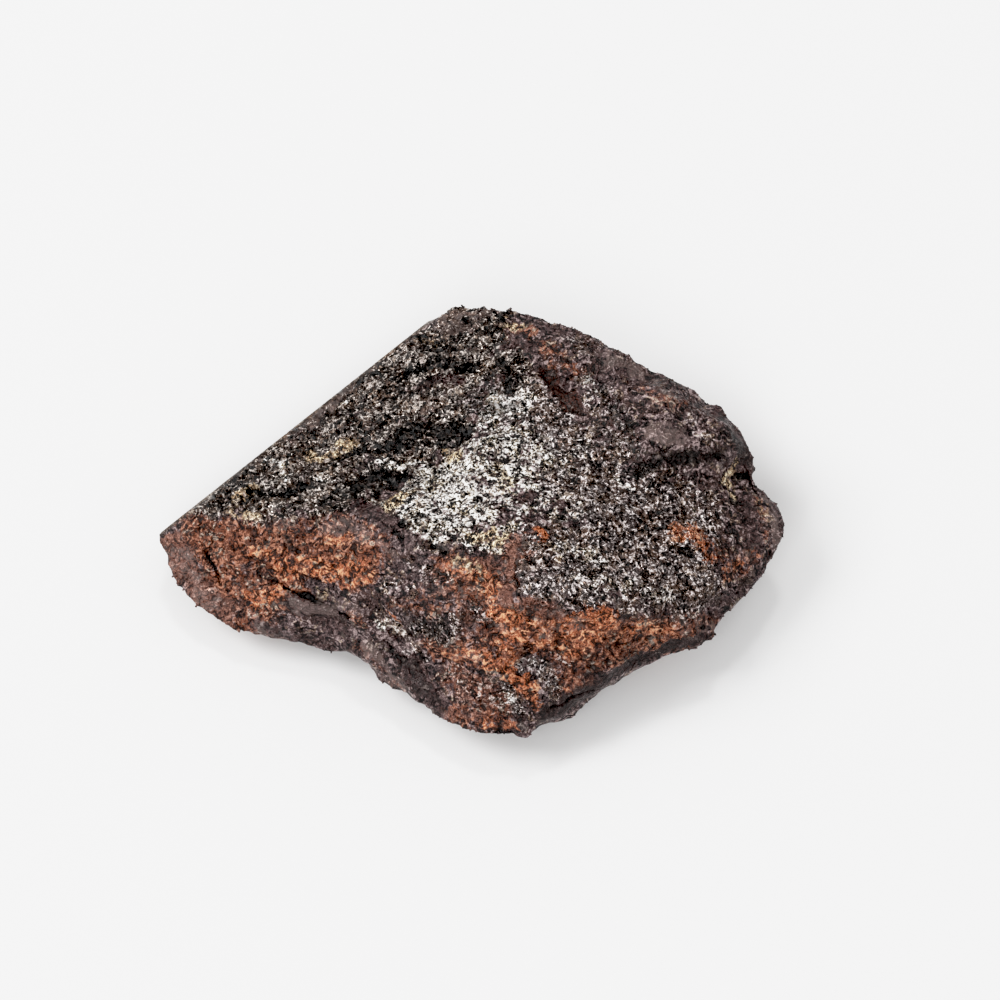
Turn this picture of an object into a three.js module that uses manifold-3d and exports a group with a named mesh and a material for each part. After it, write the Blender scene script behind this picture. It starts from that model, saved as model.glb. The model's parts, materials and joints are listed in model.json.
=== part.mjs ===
// A broken fragment of a weathered stony-iron meteorite, about 63 mm long, with one side sawn flat.
// Millimetres, +Z up, long axis on X, origin under the middle of the stone on the surface it rests on.
import * as THREE from "three";
import { ConvexHull } from "three/addons/math/ConvexHull.js";
import { ImprovedNoise } from "three/addons/math/ImprovedNoise.js";
import { mergeVertices } from "three/addons/utils/BufferGeometryUtils.js";
import Module from "manifold-3d";

// ---- Landmarks: the corners of the stone's broken faces, each [x, y, z] ----

// The widest line round the stone, anticlockwise as seen from above, from the blunt left tip.
const RIM = [
  [-28.9, -3.3, 7.2],
  [-30.2, -3.7, 6.6],
  [-31.1, -4.8, 6.3],
  [-31.3, -6.3, 6.0],
  [-30.4, -8.0, 5.0],
  [-29.4, -10.4, 4.5],
  [-27.4, -12.6, 4.0],
  [-25.2, -13.9, 3.5],
  [-22.7, -15.2, 3.5],
  [-18.2, -16.0, 3.0],
  [-14.7, -17.1, 3.0],
  [-12.0, -17.2, 3.0],
  [-10.4, -18.2, 3.0],
  [-9.2, -20.4, 3.0],
  [-6.7, -22.0, 3.5],
  [-4.0, -24.0, 4.0],
  [-1.9, -26.3, 4.0],
  [0.8, -27.0, 4.5],
  [5.3, -27.6, 4.5],
  [7.3, -26.0, 4.0],
  [10.0, -24.8, 3.5],
  [12.8, -22.0, 4.0],
  [16.8, -19.9, 4.5],
  [19.0, -19.1, 5.5],
  [22.8, -18.4, 6.0],
  [24.4, -17.5, 6.5],
  [24.7, -15.6, 6.5],
  [26.9, -13.0, 6.5],
  [29.2, -10.5, 6.5],
  [30.8, -7.1, 7.0],
  [31.4, -5.2, 7.5],
  [30.4, -2.9, 8.0],
  [28.5, -1.0, 9.0],
  [28.5, 0.7, 10.5],
  [27.4, 2.7, 11.5],
  [25.2, 5.5, 12.5],
  [22.8, 6.2, 13.0],
  [19.3, 8.8, 13.5],
  [16.8, 10.2, 14.0],
  [12.8, 12.5, 14.0],
  [10.7, 13.9, 14.0],
  [9.7, 13.3, 14.0],
  [7.8, 14.4, 14.0],
  [6.6, 15.0, 14.0],
  [4.1, 16.7, 13.5],
  [2.4, 16.6, 13.0],
  [-0.7, 18.0, 12.0],
  [-1.6, 17.4, 12.0],
  [-2.2, 16.2, 12.0],
  [-3.6, 16.6, 11.6],
  [-5.2, 15.6, 11.0],
  [-6.7, 14.9, 10.6],
];

// Stone that the saw took away, beyond its cut on the back left.
const SAWN_OFF = [
  [-12.0, 17.0, 7.0],
  [-18.0, 12.0, 7.5],
  [-26.0, 5.0, 7.0],
  [-31.5, -1.0, 6.5],
];

// The crest between the dark slope on the sawn side and the rusty front.
const CREST = [
  [-28.2, -4.2, 8.0],
  [-23.2, -4.3, 9.5],
  [-17.2, -6.2, 11.5],
  [-12.7, -7.3, 13.0],
  [-8.7, -8.9, 14.5],
  [-5.7, -11.5, 15.5],
  [-2.7, -13.6, 16.0],
  [2.3, -13.9, 16.5],
  [7.3, -11.5, 16.5],
];

// The granular broken top: dark slope on the left, bright middle, grey slope on the right.
const TOP = [
  [-21.2, 0.3, 9.0],
  [-14.2, 1.8, 10.5],
  [-7.2, 7.0, 11.5],
  [-4.2, -0.8, 12.3],
  [-0.2, 9.9, 12.2],
  [-3.2, 13.8, 12.3],
  [-7.2, -5.7, 14.5],
  [-1.2, -7.1, 16.0],
  [2.8, 0.1, 15.3],
  [6.8, 4.6, 14.3],
  [9.3, -1.5, 14.8],
  [14.8, -9.2, 14.8],
  [20.8, -9.7, 12.5],
  [22.8, -13.2, 10.5],
  [26.8, -8.3, 9.8],
];

// The hollow at the left end of the back ledge: its floor, then its lips.
const HOLLOW = [
  [8.2, 8.4, 13.9],
  [10.4, 5.4, 13.5],
  [6.9, 6.4, 14.4],
  [10.8, 3.2, 14.7],
  [12.2, 5.4, 15.4],
  [9.8, 9.4, 15.2],
];

// The crust along the back right: its crown, the terrace below it, the edge where it breaks off
// and the foot of that step.
const LEDGE_CROWN = [
  [5.8, 13.0, 14.9],
  [10.2, 11.6, 15.4],
  [14.6, 8.2, 16.2],
  [18.6, 5.2, 16.5],
  [22.0, 3.4, 15.6],
  [25.4, 2.6, 13.8],
  [19.3, 0.4, 15.9],
  [14.0, 1.6, 15.3],
];
const LEDGE_EDGE = [
  [16.2, -2.6, 15.1],
  [19.2, -2.0, 15.3],
  [22.8, -1.0, 14.5],
  [26.4, 0.6, 12.7],
];
const LEDGE_FOOT = [
  [15.6, -4.8, 13.9],
  [19.2, -4.0, 13.2],
  [23.0, -3.0, 12.2],
  [26.6, -1.4, 10.8],
];

// The rusty front: its upper edge, the ridge that runs down to the nose, and the faces between.
const FRONT_EDGE = [
  [-3.2, -18.1, 13.0],
  [2.8, -19.6, 13.5],
  [8.8, -18.9, 15.0],
  [14.8, -18.7, 13.5],
  [20.8, -17.0, 10.0],
];
const NOSE_RIDGE = [
  [-1.6, -21.0, 11.0],
  [2.3, -22.6, 11.0],
  [4.7, -24.4, 9.2],
  [6.2, -25.6, 7.2],
  [6.9, -26.4, 5.6],
];
const FRONT = [
  [8.8, -16.3, 16.2],
  [5.4, -21.6, 10.6],
  [11.8, -20.4, 10.8],
  [16.8, -19.5, 8.2],
  [10.3, -22.3, 9.0],
  [10.3, -23.8, 6.8],
  [8.1, -25.1, 6.8],
  [0.8, -24.2, 7.0],
  [-2.7, -23.4, 6.4],
];

// The left side: the groove beside the nose, the crust outside it, then the low lumps.
const LEFT_SIDE = [
  [-9.7, -15.5, 10.5],
  [-7.2, -18.7, 7.4],
  [-4.2, -21.3, 6.2],
  [-9.2, -19.0, 5.6],
  [-6.7, -21.4, 5.8],
  [-23.2, -9.2, 7.5],
  [-27.2, -8.9, 7.0],
  [-16.2, -10.4, 9.5],
  [-10.2, -11.8, 12.0],
  [-19.2, -11.7, 7.0],
  [-16.2, -14.3, 7.5],
  [-12.2, -16.1, 6.5],
  [-21.2, -13.2, 5.5],
];

// The underside, drawn in under the rim. What reaches below zero is worn flat.
const UNDERSIDE = [
  [-27.0, -6.0, 2.2],
  [-20.0, -10.0, 0.9],
  [-12.0, -13.0, 0.7],
  [-6.0, -17.0, 0.8],
  [0.0, -22.0, 1.2],
  [6.0, -21.0, 0.9],
  [13.0, -17.0, 1.0],
  [20.0, -14.0, 1.8],
  [25.0, -9.0, 2.8],
  [25.0, -2.0, 2.8],
  [21.0, 5.0, 2.2],
  [13.0, 11.0, 2.0],
  [4.0, 15.0, 1.8],
  [-3.0, 16.5, 2.0],
  [-14.0, 16.0, 0.9],
  [-24.0, 8.0, 0.9],
  [-31.0, 1.0, 1.4],
  [-15.0, -3.0, -0.6],
  [0.0, -9.0, -0.9],
  [2.0, 6.0, -0.6],
  [14.0, -5.0, -0.7],
  [-10.0, 8.0, -0.6],
];

// ---- Hand-sized features: round swellings and pits, then grooves ----

// Where each swelling is, how far it reaches and how high it stands. A pit stands below zero.
const SWELLINGS = [
  { at: [-15.4, -13.4, 7.6], reach: 3.4, height: 0.8 },
  { at: [-11.6, -14.6, 8.4], reach: 2.8, height: 0.5 },
  { at: [-20.0, -14.0, 5.6], reach: 3.0, height: 0.5 },
  { at: [-8.4, -10.6, 14.0], reach: 3.2, height: 0.5 },
  { at: [28.8, -5.6, 8.4], reach: 3.6, height: 0.6 },
  { at: [24.0, -12.0, 10.0], reach: 3.0, height: 0.4 },
  { at: [17.0, 6.8, 16.2], reach: 3.4, height: 0.5 },
  { at: [19.6, 0.2, 15.8], reach: 3.0, height: 0.4 },
  { at: [1.0, -19.8, 12.0], reach: 3.0, height: -0.5 },
  { at: [5.4, -21.6, 10.6], reach: 2.6, height: -0.6 },
  { at: [-15.7, -8.0, 10.6], reach: 2.4, height: -0.8 },
  { at: [-25.4, -7.2, 8.0], reach: 2.4, height: -0.6 },
  { at: [26.6, -1.9, 10.5], reach: 2.6, height: -1.0 },
  { at: [-4.2, -0.4, 12.3], reach: 4.2, height: -1.1 },
  { at: [-9.4, -3.8, 13.2], reach: 3.2, height: -0.9 },
  { at: [-7.4, 10.4, 11.0], reach: 3.8, height: -0.9 },
  { at: [2.8, 9.3, 13.2], reach: 3.4, height: -0.8 },
  { at: [-16.0, 3.0, 10.0], reach: 3.4, height: -0.7 },
  { at: [-1.0, 4.6, 13.0], reach: 3.0, height: 0.5 },
  { at: [6.6, -11.2, 16.4], reach: 3.4, height: -0.5 },
  { at: [18.0, -9.4, 13.8], reach: 4.0, height: -0.5 },
];

// Cracks and grooves: where each starts and ends, how wide it is and how deep.
const GROOVES = [
  { from: [-20.3, -10.8, 7.8], to: [-16.4, -12.0, 8.6], width: 2.8, depth: 1.0 },
  { from: [-16.4, -12.0, 8.6], to: [-12.2, -14.6, 8.2], width: 2.8, depth: 1.1 },
  { from: [-9.0, -16.3, 9.6], to: [-4.6, -21.2, 6.4], width: 3.0, depth: 0.8 },
  { from: [-26.6, -7.4, 7.6], to: [-25.2, -10.6, 6.4], width: 2.6, depth: 0.6 },
  { from: [-12.0, -0.6, 11.6], to: [-2.0, 2.6, 12.6], width: 3.0, depth: 0.7 },
  { from: [-12.0, 6.0, 10.6], to: [-1.0, 11.0, 12.0], width: 2.8, depth: 0.6 },
  { from: [13.8, 5.4, 15.8], to: [17.5, 3.0, 15.9], width: 3.0, depth: 0.7 },
  { from: [17.5, 3.0, 15.9], to: [21.4, 2.6, 15.3], width: 2.8, depth: 0.6 },
  { from: [6.0, -14.6, 16.4], to: [8.6, -18.9, 14.9], width: 2.6, depth: 0.7 },
];

// ---- Driving values of the surface between the landmarks ----

// The stone's heart, from which every landmark is in plain sight, and its rough half sizes.
const HEART = new THREE.Vector3(0, -3, 7);
const HALF_SIZE = new THREE.Vector3(31, 21, 9);

// The mesh starts as a sphere of 20 x (SPLITS + 1) squared triangles. Its corners are spaced
// out evenly over the stone in a number of passes, with some pinned this far apart along edges.
const SPLITS = 22;
const EVENING_PASSES = 8;
const PIN_SPACING = 1.3;

// A triangle less square to the heart than this would be folded or nearly so.
const LEAST_OUTWARD = 1e-5;

// Relief moves the surface away from the heart, at most this many times its height on a slant.
const MOST_SLANT = 1.3;

// The uneven surface: broad lumps and fine grit, each with its size across and its height.
const LUMP = { size: 7.5, height: 0.45 };
const GRIT = { size: 2.3, height: 0.3 };

// Shallow scoops struck off the broken faces, how many over the whole stone and how deep.
// On crust the same pattern stands out as rounded swells, this near to a landmark of crust.
const SCOOPS = { count: 240, depth: 0.8, reach: 3.6 };
const CRUST_REACH = 5;

// Relief fades out this near to the sharp edges, which are drawn by their own landmarks.
const EDGE_FADE = 2.2;

// The sawn face: which way its outward normal points, from +X towards +Y and then up from
// level in degrees, and how far the plane lies from the landmarks' own zero.
const SAW = { heading: 133.2, lean: 25.0, distance: 18.34 };

// The plane the stone rests on, at the landmarks' own zero height.
const REST = { heading: 0, lean: -90, distance: 0 };

// A block larger than the stone in every direction, and how near corners are one and the same.
const BLOCK = 200;
const SAME_CORNER = 1e-5;

// ---- The surface drawn through the landmarks ----

/** Joins the landmarks into triangles: their directions from the heart, wrapped in a hull. */
function cageOf(landmarks) {
  const placeOf = new Map();
  for (const landmark of landmarks) {
    const place = new THREE.Vector3(...landmark);
    const seen = place.clone().sub(HEART).divide(HALF_SIZE).normalize();
    placeOf.set(seen, place);
  }
  const hull = new ConvexHull().setFromPoints([...placeOf.keys()]);
  return hull.faces.map((face) => {
    const corners = [face.edge.prev, face.edge, face.edge.next];
    return corners.map((corner) => placeOf.get(corner.head().point));
  });
}

/** Finds where a ray from the heart leaves the cage. */
function surfacePoint(direction, cage) {
  const ray = new THREE.Ray(HEART, direction);
  const hit = new THREE.Vector3();
  const farthest = HEART.clone();
  for (const [a, b, c] of cage) {
    if (!ray.intersectTriangle(a, b, c, false, hit)) continue;
    if (hit.distanceToSquared(HEART) > farthest.distanceToSquared(HEART)) farthest.copy(hit);
  }
  return farthest;
}

/** Lists the triangles round each corner of an indexed geometry. */
function trianglesRound(geometry) {
  const index = geometry.index.array;
  const round = Array.from({ length: geometry.getAttribute("position").count }, () => []);
  for (let i = 0; i < index.length; i += 3) {
    const triangle = [...index.slice(i, i + 3)];
    triangle.forEach((corner) => round[corner].push(triangle));
  }
  return round;
}

/** How squarely a triangle of corners faces away from the heart. It is negative if folded under. */
function outwardness([a, b, c]) {
  const [fromA, fromB, fromC] = [a, b, c].map((corner) => corner.clone().sub(HEART).normalize());
  return fromA.dot(fromB.cross(fromC));
}

/** Moves a corner of the mesh, unless that would fold one of the triangles round it. */
function moveCorner(places, own, place, triangles) {
  const before = places[own];
  places[own] = place;
  const folds = triangles.some((corners) => outwardness(corners.map((i) => places[i])) < LEAST_OUTWARD);
  if (folds) places[own] = before;
  return !folds;
}

/** Lists points a pin's spacing apart along the straight lines between landmarks. */
function pointsAlong(landmarks) {
  const corners = landmarks.map((landmark) => new THREE.Vector3(...landmark));
  return corners.slice(1).flatMap((end, i) => {
    const line = new THREE.LineCurve3(corners[i], end);
    return line.getPoints(Math.max(1, Math.round(line.getLength() / PIN_SPACING)));
  });
}

/** Moves the nearest corner of the mesh onto every pin, and tells which corners are pinned. */
function pinCorners(places, pins, round) {
  const pinned = new Set();
  for (const pin of pins) {
    const distances = places.map((place) => place.distanceTo(pin));
    const nearest = distances.indexOf(Math.min(...distances));
    if (pinned.has(nearest)) continue;
    if (moveCorner(places, nearest, pin, round[nearest])) pinned.add(nearest);
  }
  return pinned;
}

/** A mesh of triangles of much the same size all over the cage, with corners on its sharp edges. */
function evenMesh(cage, sharpEdges) {
  const sphere = new THREE.IcosahedronGeometry(1, SPLITS);
  sphere.deleteAttribute("uv");
  sphere.deleteAttribute("normal");
  const geometry = mergeVertices(sphere, SAME_CORNER);
  const position = geometry.getAttribute("position");
  const round = trianglesRound(geometry);
  const places = round.map((_, i) => {
    const direction = new THREE.Vector3().fromBufferAttribute(position, i);
    return surfacePoint(direction.multiply(HALF_SIZE).normalize(), cage);
  });
  let pinned = new Set();
  for (let pass = 0; pass < 2 * EVENING_PASSES; pass++) {
    if (pass === EVENING_PASSES) pinned = pinCorners(places, sharpEdges.flatMap(pointsAlong), round);
    round.forEach((triangles, own) => {
      if (pinned.has(own)) return;
      const around = triangles.flat().filter((i) => i !== own);
      const middle = new THREE.Vector3();
      around.forEach((i) => middle.add(places[i]));
      const direction = middle.divideScalar(around.length).sub(HEART).normalize();
      moveCorner(places, own, surfacePoint(direction, cage), triangles);
    });
  }
  places.forEach((place, i) => position.setXYZ(i, place.x, place.y, place.z));
  return geometry;
}

// ---- The relief on that surface ----

const noise = new ImprovedNoise();

/** Soft unevenness about `size` across at a point, from -1 to 1. */
function lumps(point, size) {
  return noise.noise(point.x / size, point.y / size, point.z / size);
}

/** The distance from a point to the nearest of some others. */
function nearestDistance(point, others) {
  let shortest = Infinity;
  for (const other of others) shortest = Math.min(shortest, point.distanceTo(other));
  return shortest;
}

/** Middles of the scoops, at corners of the mesh picked at random but always alike. */
function scoopMiddles(position) {
  THREE.MathUtils.seededRandom(SCOOPS.count);
  return Array.from({ length: SCOOPS.count }, () => {
    const corner = Math.floor(THREE.MathUtils.seededRandom() * position.count);
    return new THREE.Vector3().fromBufferAttribute(position, corner);
  });
}

/** How far the swellings and pits push the surface out at a point. */
function swellingAt(point) {
  let push = 0;
  for (const { at, reach, height } of SWELLINGS) {
    const nearness = 1 - Math.min(1, point.distanceToSquared(new THREE.Vector3(...at)) / reach ** 2);
    push += height * nearness ** 2;
  }
  return push;
}

/** How deep the grooves are at a point. */
function grooveAt(point) {
  const nearest = new THREE.Vector3();
  let deepest = 0;
  for (const { from, to, width, depth } of GROOVES) {
    const line = new THREE.Line3(new THREE.Vector3(...from), new THREE.Vector3(...to));
    line.closestPointToPoint(point, true, nearest);
    const nearness = 1 - Math.min(1, point.distanceTo(nearest) / (width / 2));
    deepest = Math.max(deepest, depth * nearness);
  }
  return deepest;
}

/** Moves every corner of the mesh from or towards the heart by the stone's relief. */
function roughen(geometry, sharpEdges) {
  geometry.computeVertexNormals();
  const position = geometry.getAttribute("position");
  const normal = geometry.getAttribute("normal");
  const middles = scoopMiddles(position);
  const edges = sharpEdges.flatMap(pointsAlong);
  const crust = [...LEDGE_CROWN, ...LEFT_SIDE].map((landmark) => new THREE.Vector3(...landmark));
  const point = new THREE.Vector3();
  const facing = new THREE.Vector3();
  for (let i = 0; i < position.count; i++) {
    point.fromBufferAttribute(position, i);
    facing.fromBufferAttribute(normal, i);
    const outward = point.clone().sub(HEART).normalize();
    const fromEdge = THREE.MathUtils.smoothstep(nearestDistance(point, edges), 0, EDGE_FADE);
    const broken = THREE.MathUtils.smoothstep(nearestDistance(point, crust), CRUST_REACH / 2, CRUST_REACH);
    const fromMiddle = Math.min(1, nearestDistance(point, middles) / SCOOPS.reach);
    const scoop = SCOOPS.depth * (fromMiddle ** 2 - 0.5) * (2 * broken - 1);
    const uneven = LUMP.height * lumps(point, LUMP.size) + GRIT.height * lumps(point, GRIT.size);
    const relief = fromEdge * (uneven + scoop) + swellingAt(point) - grooveAt(point);
    const slant = 1 / Math.max(1 / MOST_SLANT, facing.dot(outward));
    point.addScaledVector(outward, relief * slant);
    position.setXYZ(i, point.x, point.y, point.z);
  }
  geometry.deleteAttribute("normal");
  return geometry;
}

// ---- Cutting ----

const wasm = await Module();
wasm.setup();

/** Makes a solid of a closed geometry. */
function solidOf(geometry) {
  const plain = new THREE.BufferGeometry();
  plain.setAttribute("position", geometry.getAttribute("position"));
  plain.setIndex(geometry.index);
  const merged = mergeVertices(plain, SAME_CORNER);
  return new wasm.Manifold(
    new wasm.Mesh({
      numProp: 3,
      vertProperties: new Float32Array(merged.getAttribute("position").array),
      triVerts: new Uint32Array(merged.index.array),
    }),
  );
}

/** Makes a geometry of a solid. */
function geometryOf(solid) {
  const mesh = solid.getMesh();
  const geometry = new THREE.BufferGeometry();
  geometry.setAttribute("position", new THREE.BufferAttribute(mesh.vertProperties, 3));
  geometry.setIndex(new THREE.BufferAttribute(mesh.triVerts, 1));
  return geometry;
}

/** A block that covers everything beyond a plane. */
function blockBeyond({ heading, lean, distance }) {
  const block = new THREE.BoxGeometry(BLOCK, BLOCK, BLOCK);
  block.deleteAttribute("uv");
  block.deleteAttribute("normal");
  block.translate(BLOCK / 2 + distance, 0, 0);
  block.rotateY(-THREE.MathUtils.degToRad(lean));
  block.rotateZ(THREE.MathUtils.degToRad(heading));
  return solidOf(block);
}

/** Moves a geometry so that zero lies under its middle, at its lowest point. */
function standOnOrigin(geometry) {
  geometry.computeBoundingBox();
  const { min, max } = geometry.boundingBox;
  geometry.translate(-(min.x + max.x) / 2, -(min.y + max.y) / 2, -min.z);
  return geometry;
}

// ---- The stone ----

/** The whole stone: the surface through its landmarks, roughened, sawn and worn flat to rest on. */
function meteoriteShape() {
  const cage = cageOf([
    ...RIM,
    ...SAWN_OFF,
    ...CREST,
    ...TOP,
    ...HOLLOW,
    ...LEDGE_CROWN,
    ...LEDGE_EDGE,
    ...LEDGE_FOOT,
    ...FRONT_EDGE,
    ...NOSE_RIDGE,
    ...FRONT,
    ...LEFT_SIDE,
    ...UNDERSIDE,
  ]);
  const sharpEdges = [RIM, CREST, LEDGE_EDGE, LEDGE_FOOT, FRONT_EDGE, NOSE_RIDGE];
  const broken = solidOf(roughen(evenMesh(cage, sharpEdges), sharpEdges));
  const cut = broken.subtract(blockBeyond(SAW)).subtract(blockBeyond(REST));
  return standOnOrigin(geometryOf(cut));
}

const rustyStone = new THREE.MeshStandardMaterial({ color: 0x4a3a34, roughness: 0.6, metalness: 0.35 });

const meteorite = new THREE.Mesh(meteoriteShape(), rustyStone);
meteorite.name = "meteorite";

const specimen = new THREE.Group();
specimen.add(meteorite);

export default specimen;
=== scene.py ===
"""A weathered stony-iron meteorite fragment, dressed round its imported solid.

The stone is one piece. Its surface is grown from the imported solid: the solid's facets are softened,
lumps, chips, pits and cracks are pressed into them, and loose mineral grains are bedded in the
broken faces. Sizes are in millimetres until they reach Blender, which works in metres.
"""

import json
import logging
import math
from dataclasses import dataclass, field
from enum import Enum

import bpy
import numpy as np
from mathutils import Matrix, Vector, noise
from mathutils.bvhtree import BVHTree

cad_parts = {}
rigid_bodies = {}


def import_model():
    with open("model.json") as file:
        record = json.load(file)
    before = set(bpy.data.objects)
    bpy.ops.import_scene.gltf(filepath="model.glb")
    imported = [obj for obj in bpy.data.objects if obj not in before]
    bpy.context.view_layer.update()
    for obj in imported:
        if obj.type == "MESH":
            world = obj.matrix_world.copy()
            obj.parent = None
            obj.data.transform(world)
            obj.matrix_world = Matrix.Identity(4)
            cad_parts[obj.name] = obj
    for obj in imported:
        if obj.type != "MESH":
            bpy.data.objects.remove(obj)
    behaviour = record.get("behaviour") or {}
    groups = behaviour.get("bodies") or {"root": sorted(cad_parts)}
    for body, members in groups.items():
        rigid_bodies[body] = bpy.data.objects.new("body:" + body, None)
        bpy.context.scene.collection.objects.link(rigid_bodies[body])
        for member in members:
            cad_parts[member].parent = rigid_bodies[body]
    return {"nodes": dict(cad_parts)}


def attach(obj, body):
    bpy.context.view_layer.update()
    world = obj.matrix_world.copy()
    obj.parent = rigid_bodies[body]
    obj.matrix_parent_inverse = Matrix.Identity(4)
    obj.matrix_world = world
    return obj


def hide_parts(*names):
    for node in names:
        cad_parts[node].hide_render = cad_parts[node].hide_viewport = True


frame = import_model()

LOG = logging.getLogger("meteorite")
MM = 0.001
NODE = "meteorite"


def smooth_step(values: np.ndarray, low: float, high: float) -> np.ndarray:
    """Ease values from 0 at low to 1 at high.

    Args:
        values: The numbers to ease.
        low: Where the result is 0.
        high: Where the result is 1.

    Returns:
        Numbers from 0 to 1, one for each value.
    """
    t = np.clip((values - low) / (high - low), 0.0, 1.0)
    return t * t * (3.0 - 2.0 * t)


def select_only(piece: bpy.types.Object) -> None:
    """Leave one object selected and active.

    Args:
        piece: The object.
    """
    bpy.ops.object.select_all(action="DESELECT")
    piece.select_set(True)
    bpy.context.view_layer.objects.active = piece


def apply_modifier(piece: bpy.types.Object, kind: str, **settings: object) -> None:
    """Add a modifier, set it and apply it.

    Args:
        piece: The mesh object to change.
        kind: Blender's name for the kind of modifier.
        **settings: The modifier's own settings.
    """
    select_only(piece)
    modifier = piece.modifiers.new(kind.lower(), kind)
    for name, value in settings.items():
        setattr(modifier, name, value)
    bpy.ops.object.modifier_apply(modifier=modifier.name)


# ---- Where things are on the stone ----


@dataclass(frozen=True)
class SightLine:
    """How the camera looks at the stone. Places on the stone are given square to this line."""

    elevation: float = 60.0
    distance: float = 450.0
    aim: tuple[float, float, float] = (2.8, 2.165, 8.0)
    frame_width: float = 100.0
    sensor: float = 36.0

    @property
    def towards_camera(self) -> Vector:
        """The direction from the stone to the camera."""
        angle = math.radians(self.elevation)
        return Vector((0.0, -math.cos(angle), math.sin(angle)))

    @property
    def up(self) -> Vector:
        """The direction that the camera sees as up."""
        angle = math.radians(self.elevation)
        return Vector((0.0, math.sin(angle), math.cos(angle)))

    @property
    def eye(self) -> Vector:
        """Where the camera is, in millimetres."""
        return Vector(self.aim) + self.towards_camera * self.distance

    def seen_at(self, across: float, up: float) -> Vector:
        """Give the direction in which the camera sees a place on the plane through its aim.

        Args:
            across: Millimetres to the right of the stone's origin.
            up: Millimetres above the stone's origin, as the camera sees it.

        Returns:
            A unit vector from the camera.
        """
        aim = Vector(self.aim)
        rise = up - aim.dot(self.up)
        place = aim + Vector((across - aim.x, 0.0, 0.0)) + self.up * rise
        return (place - self.eye).normalized()


@dataclass(frozen=True)
class Stroke:
    """A brush stroke on the stone, through places given as the camera sees them, in millimetres."""

    width: float
    path: tuple[tuple[float, float], ...]
    strength: float = 1.0


@dataclass(frozen=True)
class Dab:
    """A round touch of the brush at a place in the stone's own frame, in millimetres."""

    width: float
    at: tuple[float, float, float]


class Zone(Enum):
    """The kinds of surface on the stone, and the painted light and shade laid over them. What none of
    them covers is purple-brown crust.
    """

    # Broken granular ground darkened where its slope turns away from the lamps: its own dark grains,
    # with painted shade.
    DARK = "dark"
    # Pits pressed into the skin and painted near-black inside: painted shade in the pits and along the
    # foot of the ledge.
    PITCH = "pitch"
    # Broken ground of metal grains, painted bright where its slope catches the lamps: their own pale
    # colour, with painted reflection and glints.
    SILVER_GLINT = "silver"
    GREY = "grey"
    RUST = "rust"
    ORANGE = "orange"
    OCHRE = "ochre"
    HOLLOW = "hollow"
    SMOOTH = "smooth"
    BROWN = "brown"
    # Painted shade: darkens the lower lip, the foot of the ledge, valleys and other shaded places.
    SHADE = "shade"
    # Paler patches of the stone, and painted light on lit rims and edges.
    PALE_AND_LIT = "pale"
    # Grains placed where glints show: real grains, whose bright tone is a painted glint.
    GLINT_FLAKE = "flake"
    # Cracks pressed into the skin and painted near-black inside: painted shade in the cracks.
    CRACK = "crack"
    SAWN = "sawn"


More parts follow.
